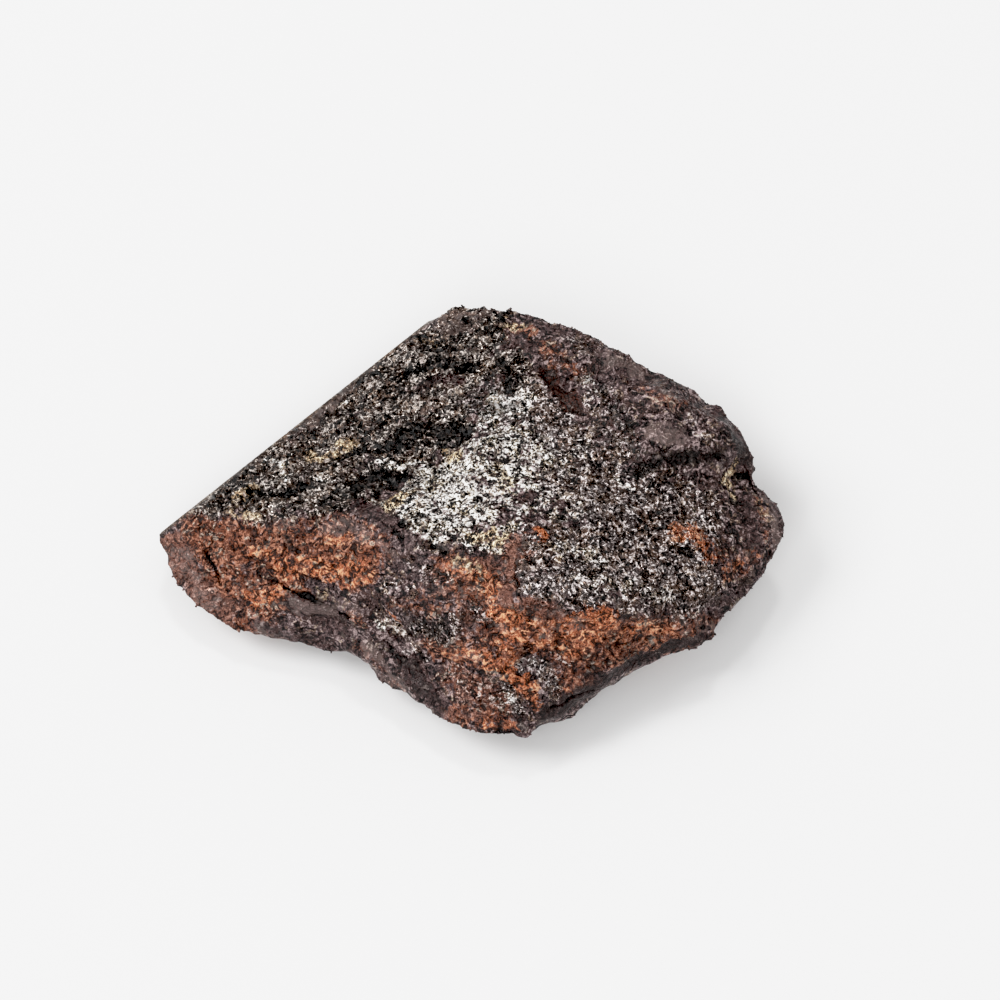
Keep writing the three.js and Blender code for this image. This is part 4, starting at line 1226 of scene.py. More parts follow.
@dataclass
class GrainBed:
    """Short curled mineral grains, bedded side by side over one kind of ground.

    Each sample grain is a bent bar. Its ring number says how many of its legs would close a ring,
    so a small number is a tight curl and a large one is nearly straight.
    """

    name: str
    bed: str
    spacing: float
    size: float
    seed: int
    sunk: float = 0.04
    lean: float = 0.4
    thickness: float = 0.26
    width: float = 0.26
    darkest: float = 0.0
    sides: int = 3
    rounded: bool = False
    legs: int = 3
    rings: tuple[int, ...] = (8, 22, 10, 13, 44, 9)
    section: float = 0.55
    roughness: float = 0.05
    size_range: tuple[float, float] = (0.7, 1.3)
    crowding: float = 2.0
    cell_margin: float = 0.15
    piece: bpy.types.Object = field(init=False)

    def build(self, stone: bpy.types.Object) -> bpy.types.Object:
        """Scatter the grains over the stone and make them real meshes.

        Args:
            stone: The finished stone, whose zone attribute says where grains lie.

        Returns:
            The piece that holds every grain.
        """
        samples = self._samples()
        mesh = bpy.data.meshes.new(self.name)
        self.piece = bpy.data.objects.new(self.name, mesh)
        bpy.context.scene.collection.objects.link(self.piece)
        apply_modifier(self.piece, "NODES", node_group=self._scatter(stone, samples))
        for sample in list(samples.objects):
            bpy.data.objects.remove(sample)
        bpy.data.collections.remove(samples)
        self._lay_out()
        return self.piece

    def _samples(self) -> bpy.types.Collection:
        """Model a few bent grains, one millimetre long.

        Returns:
            A collection of the sample grains, outside the scene.
        """
        samples = bpy.data.collections.new(self.name + "_samples")
        for i, ring in enumerate(self.rings):
            grain = self._bent_bar(ring)
            bpy.ops.object.mode_set(mode="EDIT")
            bpy.ops.mesh.select_all(action="SELECT")
            bpy.ops.transform.vertex_random(
                offset=self.roughness * MM, uniform=0.3, seed=self.seed + i
            )
            bpy.ops.mesh.quads_convert_to_tris()
            bpy.ops.mesh.normals_make_consistent(inside=False)
            bpy.ops.object.mode_set(mode="OBJECT")
            if self.rounded:
                bpy.ops.object.shade_smooth()
            else:
                bpy.ops.object.shade_flat()
            bpy.context.scene.collection.objects.unlink(grain)
            samples.objects.link(grain)
        return samples

    def _bent_bar(self, ring: int) -> bpy.types.Object:
        """Cut a few legs out of a ring, close their ends and lay them over the origin.

        Args:
            ring: How many legs the whole ring has.

        Returns:
            The bent bar, one millimetre long.
        """
        bend = self.legs * math.tau / ring
        radius = MM / bend
        bpy.ops.object.select_all(action="DESELECT")
        bpy.ops.mesh.primitive_torus_add(
            major_segments=ring,
            minor_segments=self.sides,
            major_radius=radius,
            minor_radius=self.section * self.width * MM,
            generate_uvs=False,
        )
        bar = bpy.context.object
        bpy.ops.object.mode_set(mode="EDIT")
        bpy.ops.mesh.select_all(action="DESELECT")
        bpy.ops.object.mode_set(mode="OBJECT")
        slack = 0.01
        for corner in bar.data.vertices:
            turn = math.atan2(corner.co.y, corner.co.x) % math.tau
            corner.select = bend + slack < turn < math.tau - slack
        bpy.ops.object.mode_set(mode="EDIT")
        bpy.ops.mesh.delete(type="VERT")
        bpy.ops.mesh.select_all(action="SELECT")
        bpy.ops.mesh.fill_holes(sides=self.sides)
        bpy.ops.mesh.select_all(action="SELECT")
        middle = (-radius * math.cos(0.5 * bend), -radius * math.sin(0.5 * bend), 0.0)
        bpy.ops.transform.translate(value=middle)
        bpy.ops.transform.resize(
            value=(1.0, 1.0, self.thickness / self.width), center_override=(0.0, 0.0, 0.0)
        )
        bpy.ops.object.mode_set(mode="OBJECT")
        return bar

    def _scatter(
        self, stone: bpy.types.Object, samples: bpy.types.Collection
    ) -> bpy.types.NodeTree:
        """Lay out the nodes that scatter the sample grains.

        Args:
            stone: The object to scatter them on.
            samples: The grains to pick from.

        Returns:
            A geometry node tree.
        """
        tree = bpy.data.node_groups.new(self.name + "_scatter", "GeometryNodeTree")
        tree.interface.new_socket("Geometry", in_out="OUTPUT", socket_type="NodeSocketGeometry")
        bench = Bench(tree)
        spots = self._spots(bench, stone)
        pick = bench.node(
            "GeometryNodeCollectionInfo",
            {"Collection": samples, "Separate Children": True, "Reset Children": True},
        )
        lowered = bench.node(
            "GeometryNodeSetPosition",
            {
                "Geometry": spots.outputs["Points"],
                "Offset": bench.scaled(spots.outputs["Normal"], -self.sunk * MM),
            },
        )
        tip = (self.lean, self.lean, math.tau)
        laid = bench.node(
            "FunctionNodeRotateRotation",
            {
                "Rotation": spots.outputs["Rotation"],
                "Rotate By": bench.chance(
                    "FLOAT_VECTOR", (-self.lean, -self.lean, 0.0), tip, self.seed + 1
                ),
            },
            rotation_space="LOCAL",
        )
        smallest, largest = ((share * self.size,) * 3 for share in self.size_range)
        placed = bench.node(
            "GeometryNodeInstanceOnPoints",
            {
                "Points": lowered.outputs["Geometry"],
                "Instance": pick.outputs[0],
                "Pick Instance": True,
                "Instance Index": bench.chance("INT", 0, len(self.rings) - 1, 0),
                "Rotation": laid.outputs["Rotation"],
                "Scale": bench.chance("FLOAT_VECTOR", smallest, largest, self.seed + 2),
            },
        )
        toned = bench.node(
            "GeometryNodeStoreNamedAttribute",
            {
                "Geometry": placed.outputs["Instances"],
                "Name": "tone",
                "Value": bench.chance("FLOAT", self.darkest, 1.0, self.seed + 3),
            },
            data_type="FLOAT",
            domain="INSTANCE",
        )
        real = bench.node("GeometryNodeRealizeInstances", {"Geometry": toned.outputs["Geometry"]})
        bench.node("NodeGroupOutput", {0: real.outputs["Geometry"]})
        return tree

    def _spots(self, bench: Bench, stone: bpy.types.Object) -> bpy.types.Node:
        """Add the nodes that choose where on the stone each grain lies.

        Args:
            bench: The bench to add them on.
            stone: The object that the grains lie on.

        Returns:
            The node that puts out a point for each grain.
        """
        ground = bench.node("GeometryNodeObjectInfo", {"Object": stone})
        share = bench.node(
            "GeometryNodeInputNamedAttribute", {"Name": f"{self.bed}_bed"}, data_type="FLOAT"
        )
        return bench.node(
            "GeometryNodeDistributePointsOnFaces",
            {
                "Mesh": ground.outputs["Geometry"],
                "Distance Min": self.spacing * MM,
                "Density Max": self.crowding / (self.spacing * MM) ** 2,
                "Density Factor": share.outputs["Attribute"],
                "Seed": self.seed,
            },
            distribute_method="POISSON",
        )

    def _lay_out(self) -> None:
        """Give each grain its own small cell of a new map named OFBake."""
        mesh = self.piece.data
        faces = 2 * self.legs * self.sides + 2 * (self.sides - 2)
        columns = math.ceil(math.sqrt(len(mesh.polygons) / faces))
        for layer in list(mesh.uv_layers):
            mesh.uv_layers.remove(layer)
        chart = mesh.uv_layers.new(name="OFBake")
        near, far = self.cell_margin, 1.0 - self.cell_margin
        corners = np.array([(near, near), (far, near), (0.5, far)])
        grain = np.arange(len(mesh.polygons)) // faces
        cell = np.stack([grain % columns, grain // columns], axis=1)[:, None, :]
        places = (cell + corners[None, :, :]) / columns
        chart.data.foreach_set("uv", places.reshape(-1).astype(np.float32))


GRAINS: tuple[GrainBed, ...] = (
    GrainBed("dark_grains", "dark", spacing=0.25, size=0.7, seed=3),
    GrainBed("silver_grains", "silver", spacing=0.23, size=0.7, seed=11),
    GrainBed("grey_grains", "grey", spacing=0.23, size=0.66, seed=23),
    GrainBed(
        "rust_grains", "rust", spacing=0.32, size=0.76, seed=31,
        sunk=0.085, lean=0.1, thickness=0.32, width=0.28, sides=4, rounded=True,
    ),
    GrainBed(
        "crust_grains", "crust", spacing=0.32, size=0.72, seed=47,
        sunk=0.09, lean=0.08, thickness=0.32, width=0.27, sides=4, rounded=True,
    ),
    # Bright grains on the glint spots: real grains, whose bright tone is a painted glint.
    GrainBed("bright_flakes", "flake", spacing=0.5, size=0.95, seed=59, width=0.42, darkest=0.6),
)


# ---- Finishes ----


def paint(red: int, green: int, blue: int) -> Colour:
    """Turn a given colour into the linear colour that a shader takes.

    Args:
        red: Red, from 0 to 255.
        green: Green, from 0 to 255.
        blue: Blue, from 0 to 255.

    Returns:
        The linear colour, with full alpha.
    """
    parts = [c / 255.0 for c in (red, green, blue)]
    linear = [c / 12.92 if c <= 0.04045 else ((c + 0.055) / 1.055) ** 2.4 for c in parts]
    return (*linear, 1.0)


def new_group(
    name: str, inputs: dict[str, float | None], outputs: dict[str, str]
) -> tuple[Bench, bpy.types.Node, bpy.types.Node]:
    """Start a shader node group.

    Args:
        name: The group's name.
        inputs: Each input's usual value, or None for a vector.
        outputs: Each output's kind of socket.

    Returns:
        The bench to build it on, its input node and its output node.
    """
    tree = bpy.data.node_groups.new(name, "ShaderNodeTree")
    for label, value in inputs.items():
        kind = "NodeSocketVector" if value is None else "NodeSocketFloat"
        socket = tree.interface.new_socket(label, in_out="INPUT", socket_type=kind)
        if value is not None:
            socket.default_value = value
    for label, kind in outputs.items():
        tree.interface.new_socket(label, in_out="OUTPUT", socket_type=kind)
    bench = Bench(tree)
    return bench, bench.node("NodeGroupInput", {}), bench.node("NodeGroupOutput", {})


def make_mottle() -> bpy.types.NodeTree:
    """Build the group that gives a cloudy mask, the thin lines that wind between its clouds, and
    the folds that run side by side round them.

    Returns:
        The node group.
    """
    bench, given, out = new_group(
        "mottle",
        {
            "Place": None,
            "Size": 1.0,
            "Detail": 3.0,
            "Low": 0.4,
            "High": 0.6,
            "Width": 0.06,
            "Count": 5.0,
        },
        {"Mask": "NodeSocketFloat", "Lines": "NodeSocketFloat", "Folds": "NodeSocketFloat"},
    )
    value = given.outputs
    scale = bench.sum("DIVIDE", 1.0 / MM, value["Size"])
    inputs = {"Vector": value["Place"], "Scale": scale, "Detail": value["Detail"]}
    cloud = bench.node("ShaderNodeTexNoise", inputs).outputs["Fac"]
    away = bench.sum("ABSOLUTE", bench.sum("SUBTRACT", cloud, 0.5))
    turns = bench.sum("MULTIPLY", cloud, value["Count"])
    bench.join(
        out,
        {
            "Mask": bench.ease(cloud, value["Low"], value["High"]),
            "Lines": bench.ease(away, 0.0, value["Width"], bottom=1.0, top=0.0),
            "Folds": bench.sum("SINE", bench.sum("MULTIPLY", turns, math.tau)),
        },
    )
    return bench.tree


def make_crystals() -> bpy.types.NodeTree:
    """Build the group that breaks a surface into fine tilted crystal faces.

    Returns:
        The node group.
    """
    bench, given, out = new_group(
        "crystals",
        {"Place": None, "Size": 0.35, "Tilt": 0.6},
        {"Tone": "NodeSocketFloat", "Hue": "NodeSocketFloat", "Normal": "NodeSocketVector"},
    )
    scale = bench.sum("DIVIDE", 1.0 / MM, given.outputs["Size"])
    inputs = {"Vector": given.outputs["Place"], "Scale": scale}
    cell = bench.node("ShaderNodeTexVoronoi", inputs).outputs["Color"]
    parts = bench.node("ShaderNodeSeparateColor", {0: cell})
    lean = bench.scaled(bench.vector("SUBTRACT", cell, (0.5, 0.5, 0.5)), given.outputs["Tilt"])
    facing = bench.node("ShaderNodeNewGeometry", {}).outputs["Normal"]
    bench.join(
        out,
        {
            "Tone": parts.outputs[0],
            "Hue": parts.outputs[1],
            "Normal": bench.vector("NORMALIZE", bench.vector("ADD", facing, lean)),
        },
    )
    return bench.tree


@dataclass(frozen=True)
class Tones:
    """The colours of one kind of surface, from its crevices to its crests, and its stains. The middle
    and the stain are the surface's own colour; the low tone is partly painted shade for the crevices,
    and the high tone partly a painted highlight for the crests.
    """

    low: Colour
    middle: Colour
    stain: Colour
    high: Colour


CRUST_TONES = Tones(paint(11, 8, 8), paint(75, 59, 59), paint(62, 43, 39), paint(150, 132, 131))

# The zones are laid over the crust in this order.
ZONE_TONES: dict[Zone, Tones] = {
    Zone.RUST: Tones(paint(30, 16, 12), paint(109, 63, 45), paint(77, 47, 38), paint(170, 119, 96)),
    Zone.GREY: Tones(paint(6, 6, 6), paint(81, 71, 69), paint(99, 79, 69), paint(229, 219, 217)),
    # Dark tones: the grains' own colour, darkened further as painted shade for the slope turned away
    # from the lamps.
    Zone.DARK: Tones(paint(3, 3, 3), paint(55, 48, 45), paint(79, 63, 54), paint(200, 190, 183)),
    # Near-white crests: painted glints over the metal grains' own pale colour.
    Zone.SILVER_GLINT: Tones(paint(2, 2, 1), paint(151, 141, 135), paint(167, 150, 125), paint(251, 249, 246)),
    Zone.ORANGE: Tones(paint(47, 24, 13), paint(162, 93, 62), paint(121, 73, 56), paint(217, 160, 125)),
    Zone.OCHRE: Tones(paint(15, 11, 8), paint(162, 136, 109), paint(131, 105, 80), paint(238, 222, 192)),
    Zone.SMOOTH: Tones(paint(24, 15, 15), paint(71, 53, 52), paint(58, 41, 38), paint(120, 100, 99)),
    Zone.BROWN: Tones(paint(36, 20, 15), paint(104, 68, 57), paint(82, 52, 43), paint(152, 113, 99)),
    Zone.HOLLOW: Tones(paint(15, 8, 6), paint(50, 30, 25), paint(71, 37, 30), paint(87, 62, 54)),
    # Near-black: painted shade in the pits.
    Zone.PITCH: Tones(paint(1, 1, 1), paint(6, 5, 5), paint(15, 11, 10), paint(54, 47, 43)),
    # Near-black: painted shade in the cracks.
    Zone.CRACK: Tones(paint(3, 2, 2), paint(10, 7, 6), paint(15, 10, 8), paint(40, 30, 27)),
}

SAWN_TONES = Tones(paint(54, 43, 38), paint(89, 79, 72), paint(101, 76, 59), paint(150, 140, 130))

USUAL_FRINGE = 0.7
FRINGES: dict[Zone, float] = {Zone.CRACK: 0.12, Zone.HOLLOW: 0.25, Zone.SMOOTH: 0.3, Zone.BROWN: 0.3}


@dataclass(frozen=True)
class Cloud:
    """A cloudy pattern: its size in millimetres, where its mask starts and is full, its detail."""

    size: float
    low: float
    high: float
    detail: float = 3.0


FINE_FRAY = Cloud(0.5, 0.25, 0.75, 1.0)
BROAD_FRAY = Cloud(1.4, 0.25, 0.75)
GRIT = Cloud(0.15, 0.3, 0.7, 0.0)
LUMPS = Cloud(0.7, 0.3, 0.7, 2.0)
BREAKS = Cloud(0.8, 0.36, 0.56, 1.0)
STAINS = Cloud(1.5, 0.42, 0.66)
PATCHES = Cloud(2.6, 0.35, 0.65)
SWELLS = Cloud(3.2, 0.35, 0.6)


@dataclass(frozen=True)
class Weights:
    """How much each pattern lifts the level of a kind of ground, from crevice to crest."""

    base: float
    grit: float
    # How far a corner stands over its neighbours: painted shade in the pits, painted highlight on the
    # crests.
    pit_shade_crest_light: float
    curls: float = 0.0
    gaps: float = 0.0
    lumps: float = 0.0
    grain: float = 0.0
    facets: float = 0.0


CRUST_WEIGHTS = Weights(base=0.03, curls=0.12, gaps=-0.3, grit=0.32, lumps=0.16, pit_shade_crest_light=0.4)
BROKEN_WEIGHTS = Weights(base=0.04, grain=0.5, facets=0.26, grit=0.36, pit_shade_crest_light=0.14)


@dataclass(frozen=True)
class Patterns:
    """The shared patterns, as they are placed on a piece's Object coordinates in one material."""

    bench: Bench
    place: Socket
    mottle: bpy.types.NodeTree
    crystals: bpy.types.NodeTree

    def cloud(self, cloud: Cloud) -> Socket:
        """Place a cloudy mask.

        Args:
            cloud: The pattern to place.

        Returns:
            The mask, from 0 to 1.
        """
        inputs = {
            "Place": self.place,
            "Size": cloud.size,
            "Detail": cloud.detail,
            "Low": cloud.low,
            "High": cloud.high,
        }
        return self.bench.group(self.mottle, inputs).outputs["Mask"]

    def lines(self, size: float, width: float) -> Socket:
        """Place thin winding lines, spaced about the given size in millimetres."""
        inputs = {"Place": self.place, "Size": size, "Detail": 1.0, "Width": width}
        return self.bench.group(self.mottle, inputs).outputs["Lines"]

    def folds(self, size: float, count: float) -> Socket:
        """Place folds that run side by side, from -1 in their troughs to 1 on their crests."""
        inputs = {"Place": self.place, "Size": size, "Detail": 1.6, "Count": count}
        return self.bench.group(self.mottle, inputs).outputs["Folds"]

    def facets(self, size: float, tilt: float) -> bpy.types.Node:
        """Place crystal faces of the given size, in millimetres."""
        return self.bench.group(self.crystals, {"Place": self.place, "Size": size, "Tilt": tilt})


@dataclass(frozen=True)
class Ground:
    """What the parts of a finish share: its zones' masks and the patterns of its relief."""

    masks: dict[Zone, Socket]
    granular: Socket
    grit: Socket
    curls: Socket
    gaps: Socket
    flow: Socket
    grain: Socket
    tone: Socket
    hue: Socket
    facing: Socket


@dataclass(frozen=True)
class StoneFinish:
    """The finish of the stone's skin, or of the loose grains on it, mixed from the zones.

    The folds' shares are for quiet and for lively places, and a loose grain's own shares for crust
    and for broken ground. A pair of levels says where a tone starts and where it is whole, between
    the crevices at 0 and the crests at 1.
    """

    name: str
    mottle: bpy.types.NodeTree
    crystals: bpy.types.NodeTree
    loose: bool = False
    bump: float = 1.0
    facet_tilt: float = 0.6
    border: tuple[float, float] = (0.22, 0.78)
    # Where the crevices' partly painted shade and the crests' partly painted highlight start and are
    # whole.
    crevice: tuple[float, float] = (0.12, 0.46)
    crest: tuple[float, float] = (0.54, 0.9)
    gap_share: float = 0.9
    break_share: float = 0.45
    tangle_share: float = 0.45
    fold_shares: tuple[float, float] = (0.2, 0.36)
    evenness: float = 0.6
    own_shares: tuple[float, float] = (0.14, 0.52)
    patch_drift: float = 0.14
    band_drift: float = 0.24
    band_middle: float = 0.6
    # Painted glints: how far the level is stretched towards dark gaps and white crests on the
    # lamp-facing grains.
    painted_glint_base: float = -0.55
    painted_glint_gain: float = 2.3
    hue_spread: float = 7.3
    silver_dullness: float = 0.65
    # Painted shade: how strongly its strokes darken the colour, and towards which colour.
    shade_share: float = 0.62
    shade_colour: Colour = paint(12, 8, 7)
    # Paler patches with painted light: how strongly they lighten the colour, and their colours from
    # crevice to crest.
    pale_and_lit_share: float = 0.3
    pale_and_lit_colours: tuple[Colour, Colour] = (paint(138, 119, 114), paint(204, 186, 180))
    specular: float = 0.3
    bump_depth: float = 0.13
    grain_bump: float = 0.5
    grit_bump: float = 0.3
    sawn_bump: float = 0.1

    def build(self) -> bpy.types.Material:
        """Make the material of the whole surface.

        Returns:
            The finished material.
        """
        material = bpy.data.materials.new(self.name)
        material.use_nodes = True
        bench = Bench(material.node_tree)
        place = bench.node("ShaderNodeTexCoord", {}).outputs["Object"]
        patterns = Patterns(bench, place, self.mottle, self.crystals)
        ground = self._ground(patterns)
        level = self._level(patterns, ground)
        bench.join(
            bench.tree.nodes["Principled BSDF"],
            {
                "Base Color": self._colour(patterns, ground, level),
                "Roughness": self._roughness(bench, ground, level),
                "Metallic": self._metal(bench, ground),
                "Specular IOR Level": self.specular,
                "Normal": self._normal(bench, ground),
            },
        )
        return material

    def _masks(self, patterns: Patterns) -> dict[Zone, Socket]:
        """Read the zones' masks, with frayed edges, and the sawn face's, with a clean one.

        Args:
            patterns: The patterns of the material.

        Returns:
            A mask from 0 to 1 for each zone that has a colour.
        """
        bench = patterns.bench
        ragged = bench.sum("SUBTRACT", patterns.cloud(FINE_FRAY), 0.5)
        fray = bench.sum("ADD", ragged, bench.sum("SUBTRACT", patterns.cloud(BROAD_FRAY), 0.5))
        masks = {Zone.SAWN: bench.attribute(Zone.SAWN.value)}
        for zone in (*ZONE_TONES, Zone.SHADE, Zone.PALE_AND_LIT):
            fringe = FRINGES.get(zone, USUAL_FRINGE)
            edge = bench.sum("MULTIPLY_ADD", fray, fringe, bench.attribute(zone.value))
            masks[zone] = bench.ease(edge, *self.border)
        return masks

    def _ground(self, patterns: Patterns) -> Ground:
        """Lay out the zones' masks and the patterns that the parts of the finish share.

        Args:
            patterns: The patterns of the material.

        Returns:
            The shared masks and patterns.
        """
        bench = patterns.bench
        masks = self._masks(patterns)
        dark = masks[Zone.DARK]
        bright = bench.sum("MAXIMUM", dark, masks[Zone.SILVER_GLINT])
        granular = bench.sum("MAXIMUM", bright, masks[Zone.GREY])
        curls = patterns.lines(size=0.8, width=0.06)
        gaps = patterns.lines(size=0.92, width=0.08)
        winding = bench.sum("SUBTRACT", curls, bench.sum("MULTIPLY", gaps, self.gap_share))
        broken = bench.blend(patterns.cloud(BREAKS), self.break_share, 1.0)
        flow = bench.sum("MULTIPLY", patterns.folds(size=1.15, count=5.0), broken)
        tangled = bench.sum("MULTIPLY_ADD", flow, self.tangle_share, winding)
        fine = patterns.facets(size=0.38, tilt=1.0).outputs
        flakes = patterns.facets(size=0.5, tilt=1.1).outputs
        if self.loose:
            spread = bench.sum("MULTIPLY", bench.attribute("tone"), self.hue_spread)
            hue = bench.sum("FRACT", spread)
        else:
            hue = bench.blend(dark, fine["Hue"], flakes["Hue"])
        return Ground(
            masks=masks,
            granular=granular,
            grit=patterns.cloud(GRIT),
            curls=curls,
            gaps=gaps,
            flow=flow,
            grain=bench.blend(granular, flow, tangled),
            tone=bench.blend(dark, fine["Tone"], flakes["Tone"]),
            hue=hue,
            facing=bench.turn(dark, fine["Normal"], flakes["Normal"]),
        )

    def _level(self, patterns: Patterns, ground: Ground) -> Socket:
        """Work out how far each place stands between the crevices and the crests.

        Args:
            patterns: The patterns of the material.
            ground: The shared masks and patterns.

        Returns:
            The level, about 0 in crevices and 1 on crests.
        """
        bench = patterns.bench
        masks, grit = ground.masks, ground.grit
        # Painted shade in the pits and painted highlight on the crests of the pressed relief.
        pit_shade_crest_light = bench.ease(bench.attribute("pit_shade_crest_light"), low=0.1, high=0.9)
        crust = bench.pile(
            CRUST_WEIGHTS.base,
            (ground.flow, self._fold_strength(patterns)),
            (ground.curls, CRUST_WEIGHTS.curls),
            (ground.gaps, CRUST_WEIGHTS.gaps),
            (grit, CRUST_WEIGHTS.grit),
            (patterns.cloud(LUMPS), CRUST_WEIGHTS.lumps),
            (pit_shade_crest_light, CRUST_WEIGHTS.pit_shade_crest_light),
        )
        broken = bench.pile(
            BROKEN_WEIGHTS.base,
            (ground.grain, BROKEN_WEIGHTS.grain),
            (ground.tone, BROKEN_WEIGHTS.facets),
            (grit, BROKEN_WEIGHTS.grit),
            (pit_shade_crest_light, BROKEN_WEIGHTS.pit_shade_crest_light),
        )
        level = bench.blend(ground.granular, crust, broken)
        if self.loose:
            own_share = bench.blend(ground.granular, *self.own_shares)
            level = bench.blend(own_share, level, bench.attribute("tone"))
        patchy = bench.sum("SUBTRACT", patterns.cloud(PATCHES), 0.5)
        banded = bench.sum("SUBTRACT", bench.attribute("bands"), self.band_middle)
        drift = bench.blend(
            masks[Zone.DARK],
            bench.sum("MULTIPLY", patchy, self.patch_drift),
            bench.sum("MULTIPLY", banded, self.band_drift),
        )
        level = bench.sum("ADD", level, drift)
        # Painted glints: stretch the level towards dark gaps and white crests on the lamp-facing grains.
        painted_glint = bench.pile(self.painted_glint_base, (level, self.painted_glint_gain))
        return bench.blend(masks[Zone.SILVER_GLINT], level, painted_glint)

    def _fold_strength(self, patterns: Patterns) -> Socket:
        """Work out how strongly the folds show: less on the smooth facets and in the hollow.

        Args:
            patterns: The patterns of the material.

        Returns:
            The strength.
        """
        bench = patterns.bench
        even = bench.sum("MAXIMUM", bench.attribute("smooth"), bench.attribute("brown"))
        even = bench.sum("MAXIMUM", even, bench.attribute("hollow"))
        strength = bench.blend(patterns.cloud(SWELLS), *self.fold_shares)
        return bench.sum("MULTIPLY", strength, bench.pile(1.0, (even, -self.evenness)))

    def _colour(self, patterns: Patterns, ground: Ground, level: Socket) -> Socket:
        """Colour the relief of each zone with the zone's own tones, one zone over the other, then lay
        the painted shade and the paler patches with their painted light over them.

        Args:
            patterns: The patterns of the material.
            ground: The shared masks and patterns.
            level: How far each place stands between the crevices and the crests.

        Returns:
            The colour.
        """
        bench, masks = patterns.bench, ground.masks
        # Darker towards the crevices and lighter towards the crests: the surface's own mottling, with
        # painted shade and painted highlight.
        lower = bench.ease(level, *self.crevice)
        upper = bench.ease(level, *self.crest)
        stain = patterns.cloud(STAINS)

        def shade(tones: Tones) -> Socket:
            """Colour the relief with one set of tones."""
            body = bench.mix(stain, tones.middle, tones.stain)
            return bench.mix(upper, bench.mix(lower, tones.low, body), tones.high)

        colour = shade(CRUST_TONES)
        for zone, tones in ZONE_TONES.items():
            colour = bench.mix(masks[zone], colour, shade(tones))
        # Lay the painted shade over the zones.
        shaded = bench.sum("MULTIPLY", masks[Zone.SHADE], self.shade_share)
        colour = bench.mix(shaded, colour, self.shade_colour)
        # Lay the paler patches and their painted light over the zones, lighter on the crests.
        paled_and_lit = bench.sum("MULTIPLY", masks[Zone.PALE_AND_LIT], self.pale_and_lit_share)
        colour = bench.mix(paled_and_lit, colour, bench.mix(upper, *self.pale_and_lit_colours))
        return bench.mix(masks[Zone.SAWN], colour, shade(SAWN_TONES))

    def _roughness(self, bench: Bench, ground: Ground, level: Socket) -> Socket:
        """Work out the roughness: crystals glint, and the crust has a dull sheen on its crests.

        Args:
            bench: The bench of the material.
            ground: The shared masks and patterns.
            level: How far each place stands between the crevices and the crests.

        Returns:
            The roughness.
        """
        crystal = bench.ease(ground.hue, low=0.4, high=0.9, bottom=0.42, top=0.12)
        crust = bench.ease(level, low=0.2, high=0.8, bottom=0.55, top=0.32)
        return bench.blend(ground.granular, crust, crystal)

    def _metal(self, bench: Bench, ground: Ground) -> Socket:
        """Work out how metallic the crystals are: some more than others, the brightest least.

        Args:
            bench: The bench of the material.
            ground: The shared masks and patterns.

        Returns:
            The share of metal.
        """
        crystal = bench.ease(ground.hue, low=0.3, high=0.7, bottom=0.1, top=0.7)
        metal = bench.sum("MULTIPLY", ground.granular, crystal)
        # Less metal where the grains carry painted glints, so their painted brightness shows.
        dulled = bench.pile(1.0, (ground.masks[Zone.SILVER_GLINT], -self.silver_dullness))
        return bench.sum("MULTIPLY", metal, dulled)

    def _normal(self, bench: Bench, ground: Ground) -> Socket:
        """Bump the surface with its grain and grit, and tilt the crystals' faces.

        Args:
            bench: The bench of the material.
            ground: The shared masks and patterns.

        Returns:
            The direction in which the surface faces.
        """
        grit = bench.sum("MULTIPLY", ground.grit, self.grit_bump)
        rough = bench.sum("MULTIPLY_ADD", ground.grain, self.grain_bump, grit)
        sawn = bench.sum("MULTIPLY", ground.grit, self.sawn_bump)
        height = bench.blend(ground.masks[Zone.SAWN], rough, sawn)
        inputs = {"Strength": self.bump, "Distance": self.bump_depth * MM, "Height": height}
        bumped = bench.node("ShaderNodeBump", inputs).outputs["Normal"]
        share = bench.sum("MULTIPLY", ground.granular, self.facet_tilt)
        return bench.turn(share, bumped, ground.facing)


# ---- The studio ----


@dataclass(frozen=True)
class Lamp:
    """A soft square light that faces the stone."""

    name: str
    azimuth: float
    elevation: float
    distance: float
    side: float
    power: float

    def build(self) -> None:
        """Hang the light and turn it to the stone."""
        turn, rise = math.radians(self.azimuth), math.radians(self.elevation)
        level = math.cos(rise)
        away = Vector((math.sin(turn) * level, math.cos(turn) * level, math.sin(rise)))
        bpy.ops.object.light_add(type="AREA", location=away * self.distance * MM)
        lamp = bpy.context.object
        lamp.name = self.name
        lamp.rotation_euler = away.to_track_quat("Z", "Y").to_euler()
        lamp.data.size = self.side * MM
        lamp.data.energy = self.power


LAMPS: tuple[Lamp, ...] = (
    Lamp("key", azimuth=-84.0, elevation=49.0, distance=1600.0, side=760.0, power=11.0),
    Lamp("top", azimuth=4.0, elevation=63.0, distance=1600.0, side=200.0, power=2.4),
    Lamp("front", azimuth=-168.0, elevation=45.0, distance=1600.0, side=700.0, power=6.6),
)


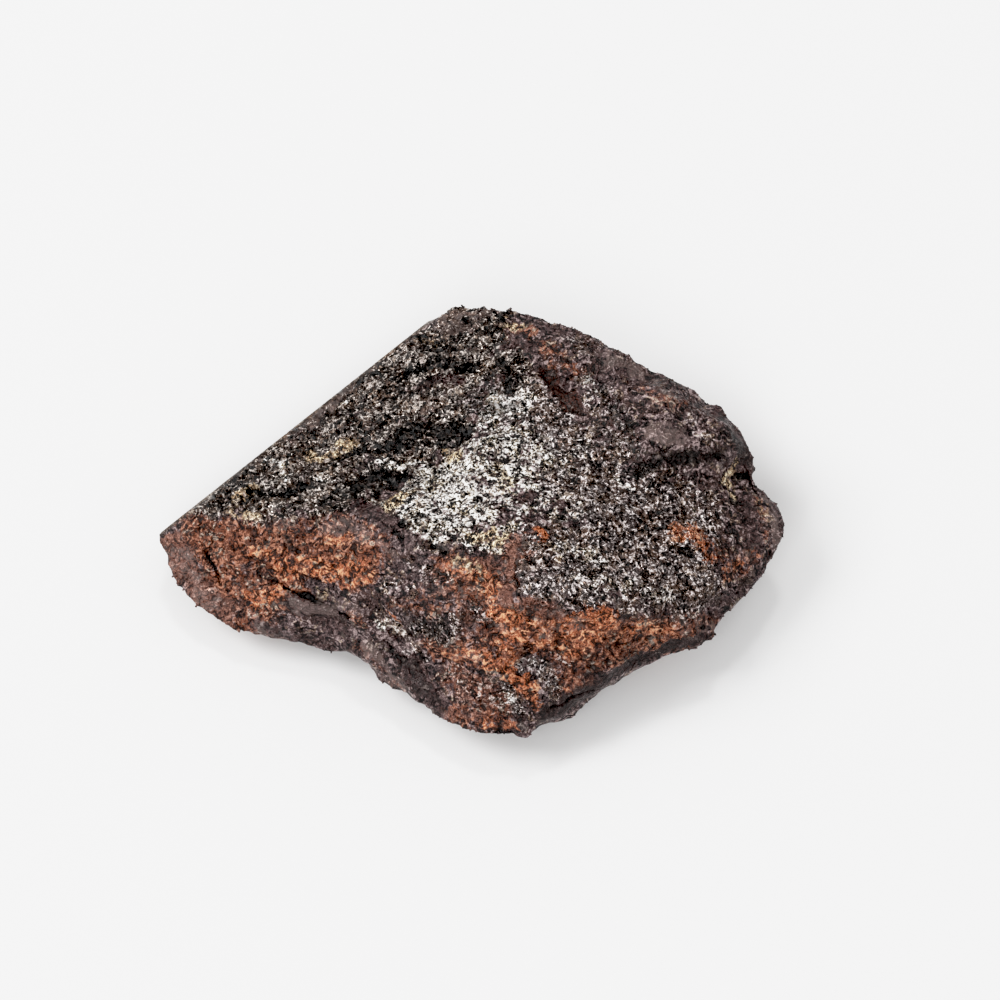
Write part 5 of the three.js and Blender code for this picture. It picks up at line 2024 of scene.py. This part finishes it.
@dataclass
class Studio:
    """The pale floor, the soft light and the camera.

    The film's points say how bright each light is shown, from black, at 0, to the brightest.
    """

    sight: SightLine
    floor_side: float = 4000.0
    floor_colour: Colour = paint(238, 238, 238)
    floor_roughness: float = 0.9
    floor_specular: float = 0.1
    sky: float = 0.5
    black: float = 0.012
    film: tuple[tuple[float, float], ...] = (
        (0.16, 0.243),
        (0.33, 0.5),
        (0.46, 0.645),
        (0.58, 0.753),
        (0.72, 0.839),
        (0.83, 0.885),
        (1.0, 0.925),
    )
    nearest: float = 10.0
    farthest: float = 10000.0

    def build(self) -> None:
        """Set up the floor, the lights, the sky and the camera."""
        self._floor()
        for lamp in LAMPS:
            lamp.build()
        world = bpy.data.worlds.new("studio")
        world.use_nodes = True
        backdrop = world.node_tree.nodes["Background"]
        backdrop.inputs["Strength"].default_value = self.sky
        backdrop.inputs["Color"].default_value = (1.0, 1.0, 1.0, 1.0)
        bpy.context.scene.world = world
        self._develop()
        self._camera()

    def _floor(self) -> None:
        """Lay the plain pale floor."""
        bpy.ops.object.select_all(action="DESELECT")
        bpy.ops.mesh.primitive_plane_add(size=self.floor_side * MM)
        floor = bpy.context.object
        floor.name = "floor"
        material = bpy.data.materials.new("pale_floor")
        material.use_nodes = True
        shader = material.node_tree.nodes["Principled BSDF"]
        shader.inputs["Base Color"].default_value = self.floor_colour
        shader.inputs["Roughness"].default_value = self.floor_roughness
        shader.inputs["Specular IOR Level"].default_value = self.floor_specular
        floor.data.materials.append(material)

    def _develop(self) -> None:
        """Set how the scene's light is turned into shown tones."""
        view = bpy.context.scene.view_settings
        view.view_transform = "Standard"
        view.use_curve_mapping = True
        view.curve_mapping.black_level = (self.black,) * 3
        curve = view.curve_mapping.curves[3]
        curve.points[1].location = self.film[-1]
        for light, shown in self.film[:-1]:
            curve.points.new(light, shown)
        view.curve_mapping.update()

    def _camera(self) -> None:
        """Set the camera on the sight line."""
        sight = self.sight
        bpy.ops.object.camera_add(location=sight.eye * MM)
        camera = bpy.context.object
        camera.rotation_euler = sight.towards_camera.to_track_quat("Z", "Y").to_euler()
        camera.data.sensor_width = sight.sensor
        camera.data.lens = sight.sensor * sight.distance / sight.frame_width
        camera.data.clip_start = self.nearest * MM
        camera.data.clip_end = self.farthest * MM
        bpy.context.scene.camera = camera


def main() -> None:
    """Build the studio, the stone and its grains, in that order."""
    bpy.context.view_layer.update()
    sight = SightLine()
    Studio(sight).build()

    skin = Stone(sight).build()
    mottle, crystals = make_mottle(), make_crystals()
    skin.data.materials.append(StoneFinish("stone_skin", mottle, crystals).build())
    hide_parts(NODE)
    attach(skin, "root")
    LOG.info("stone: %d faces", len(skin.data.polygons))

    loose = StoneFinish(
        "loose_grain", mottle, crystals, loose=True, bump=0.4, facet_tilt=0.2
    ).build()
    for bed in GRAINS:
        piece = bed.build(skin)
        piece.data.materials.clear()
        piece.data.materials.append(loose)
        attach(piece, "root")
        LOG.info("%s: %d faces", piece.name, len(piece.data.polygons))


if __name__ == "__main__":
    logging.basicConfig(level=logging.INFO, format="%(name)s: %(message)s")
    main()
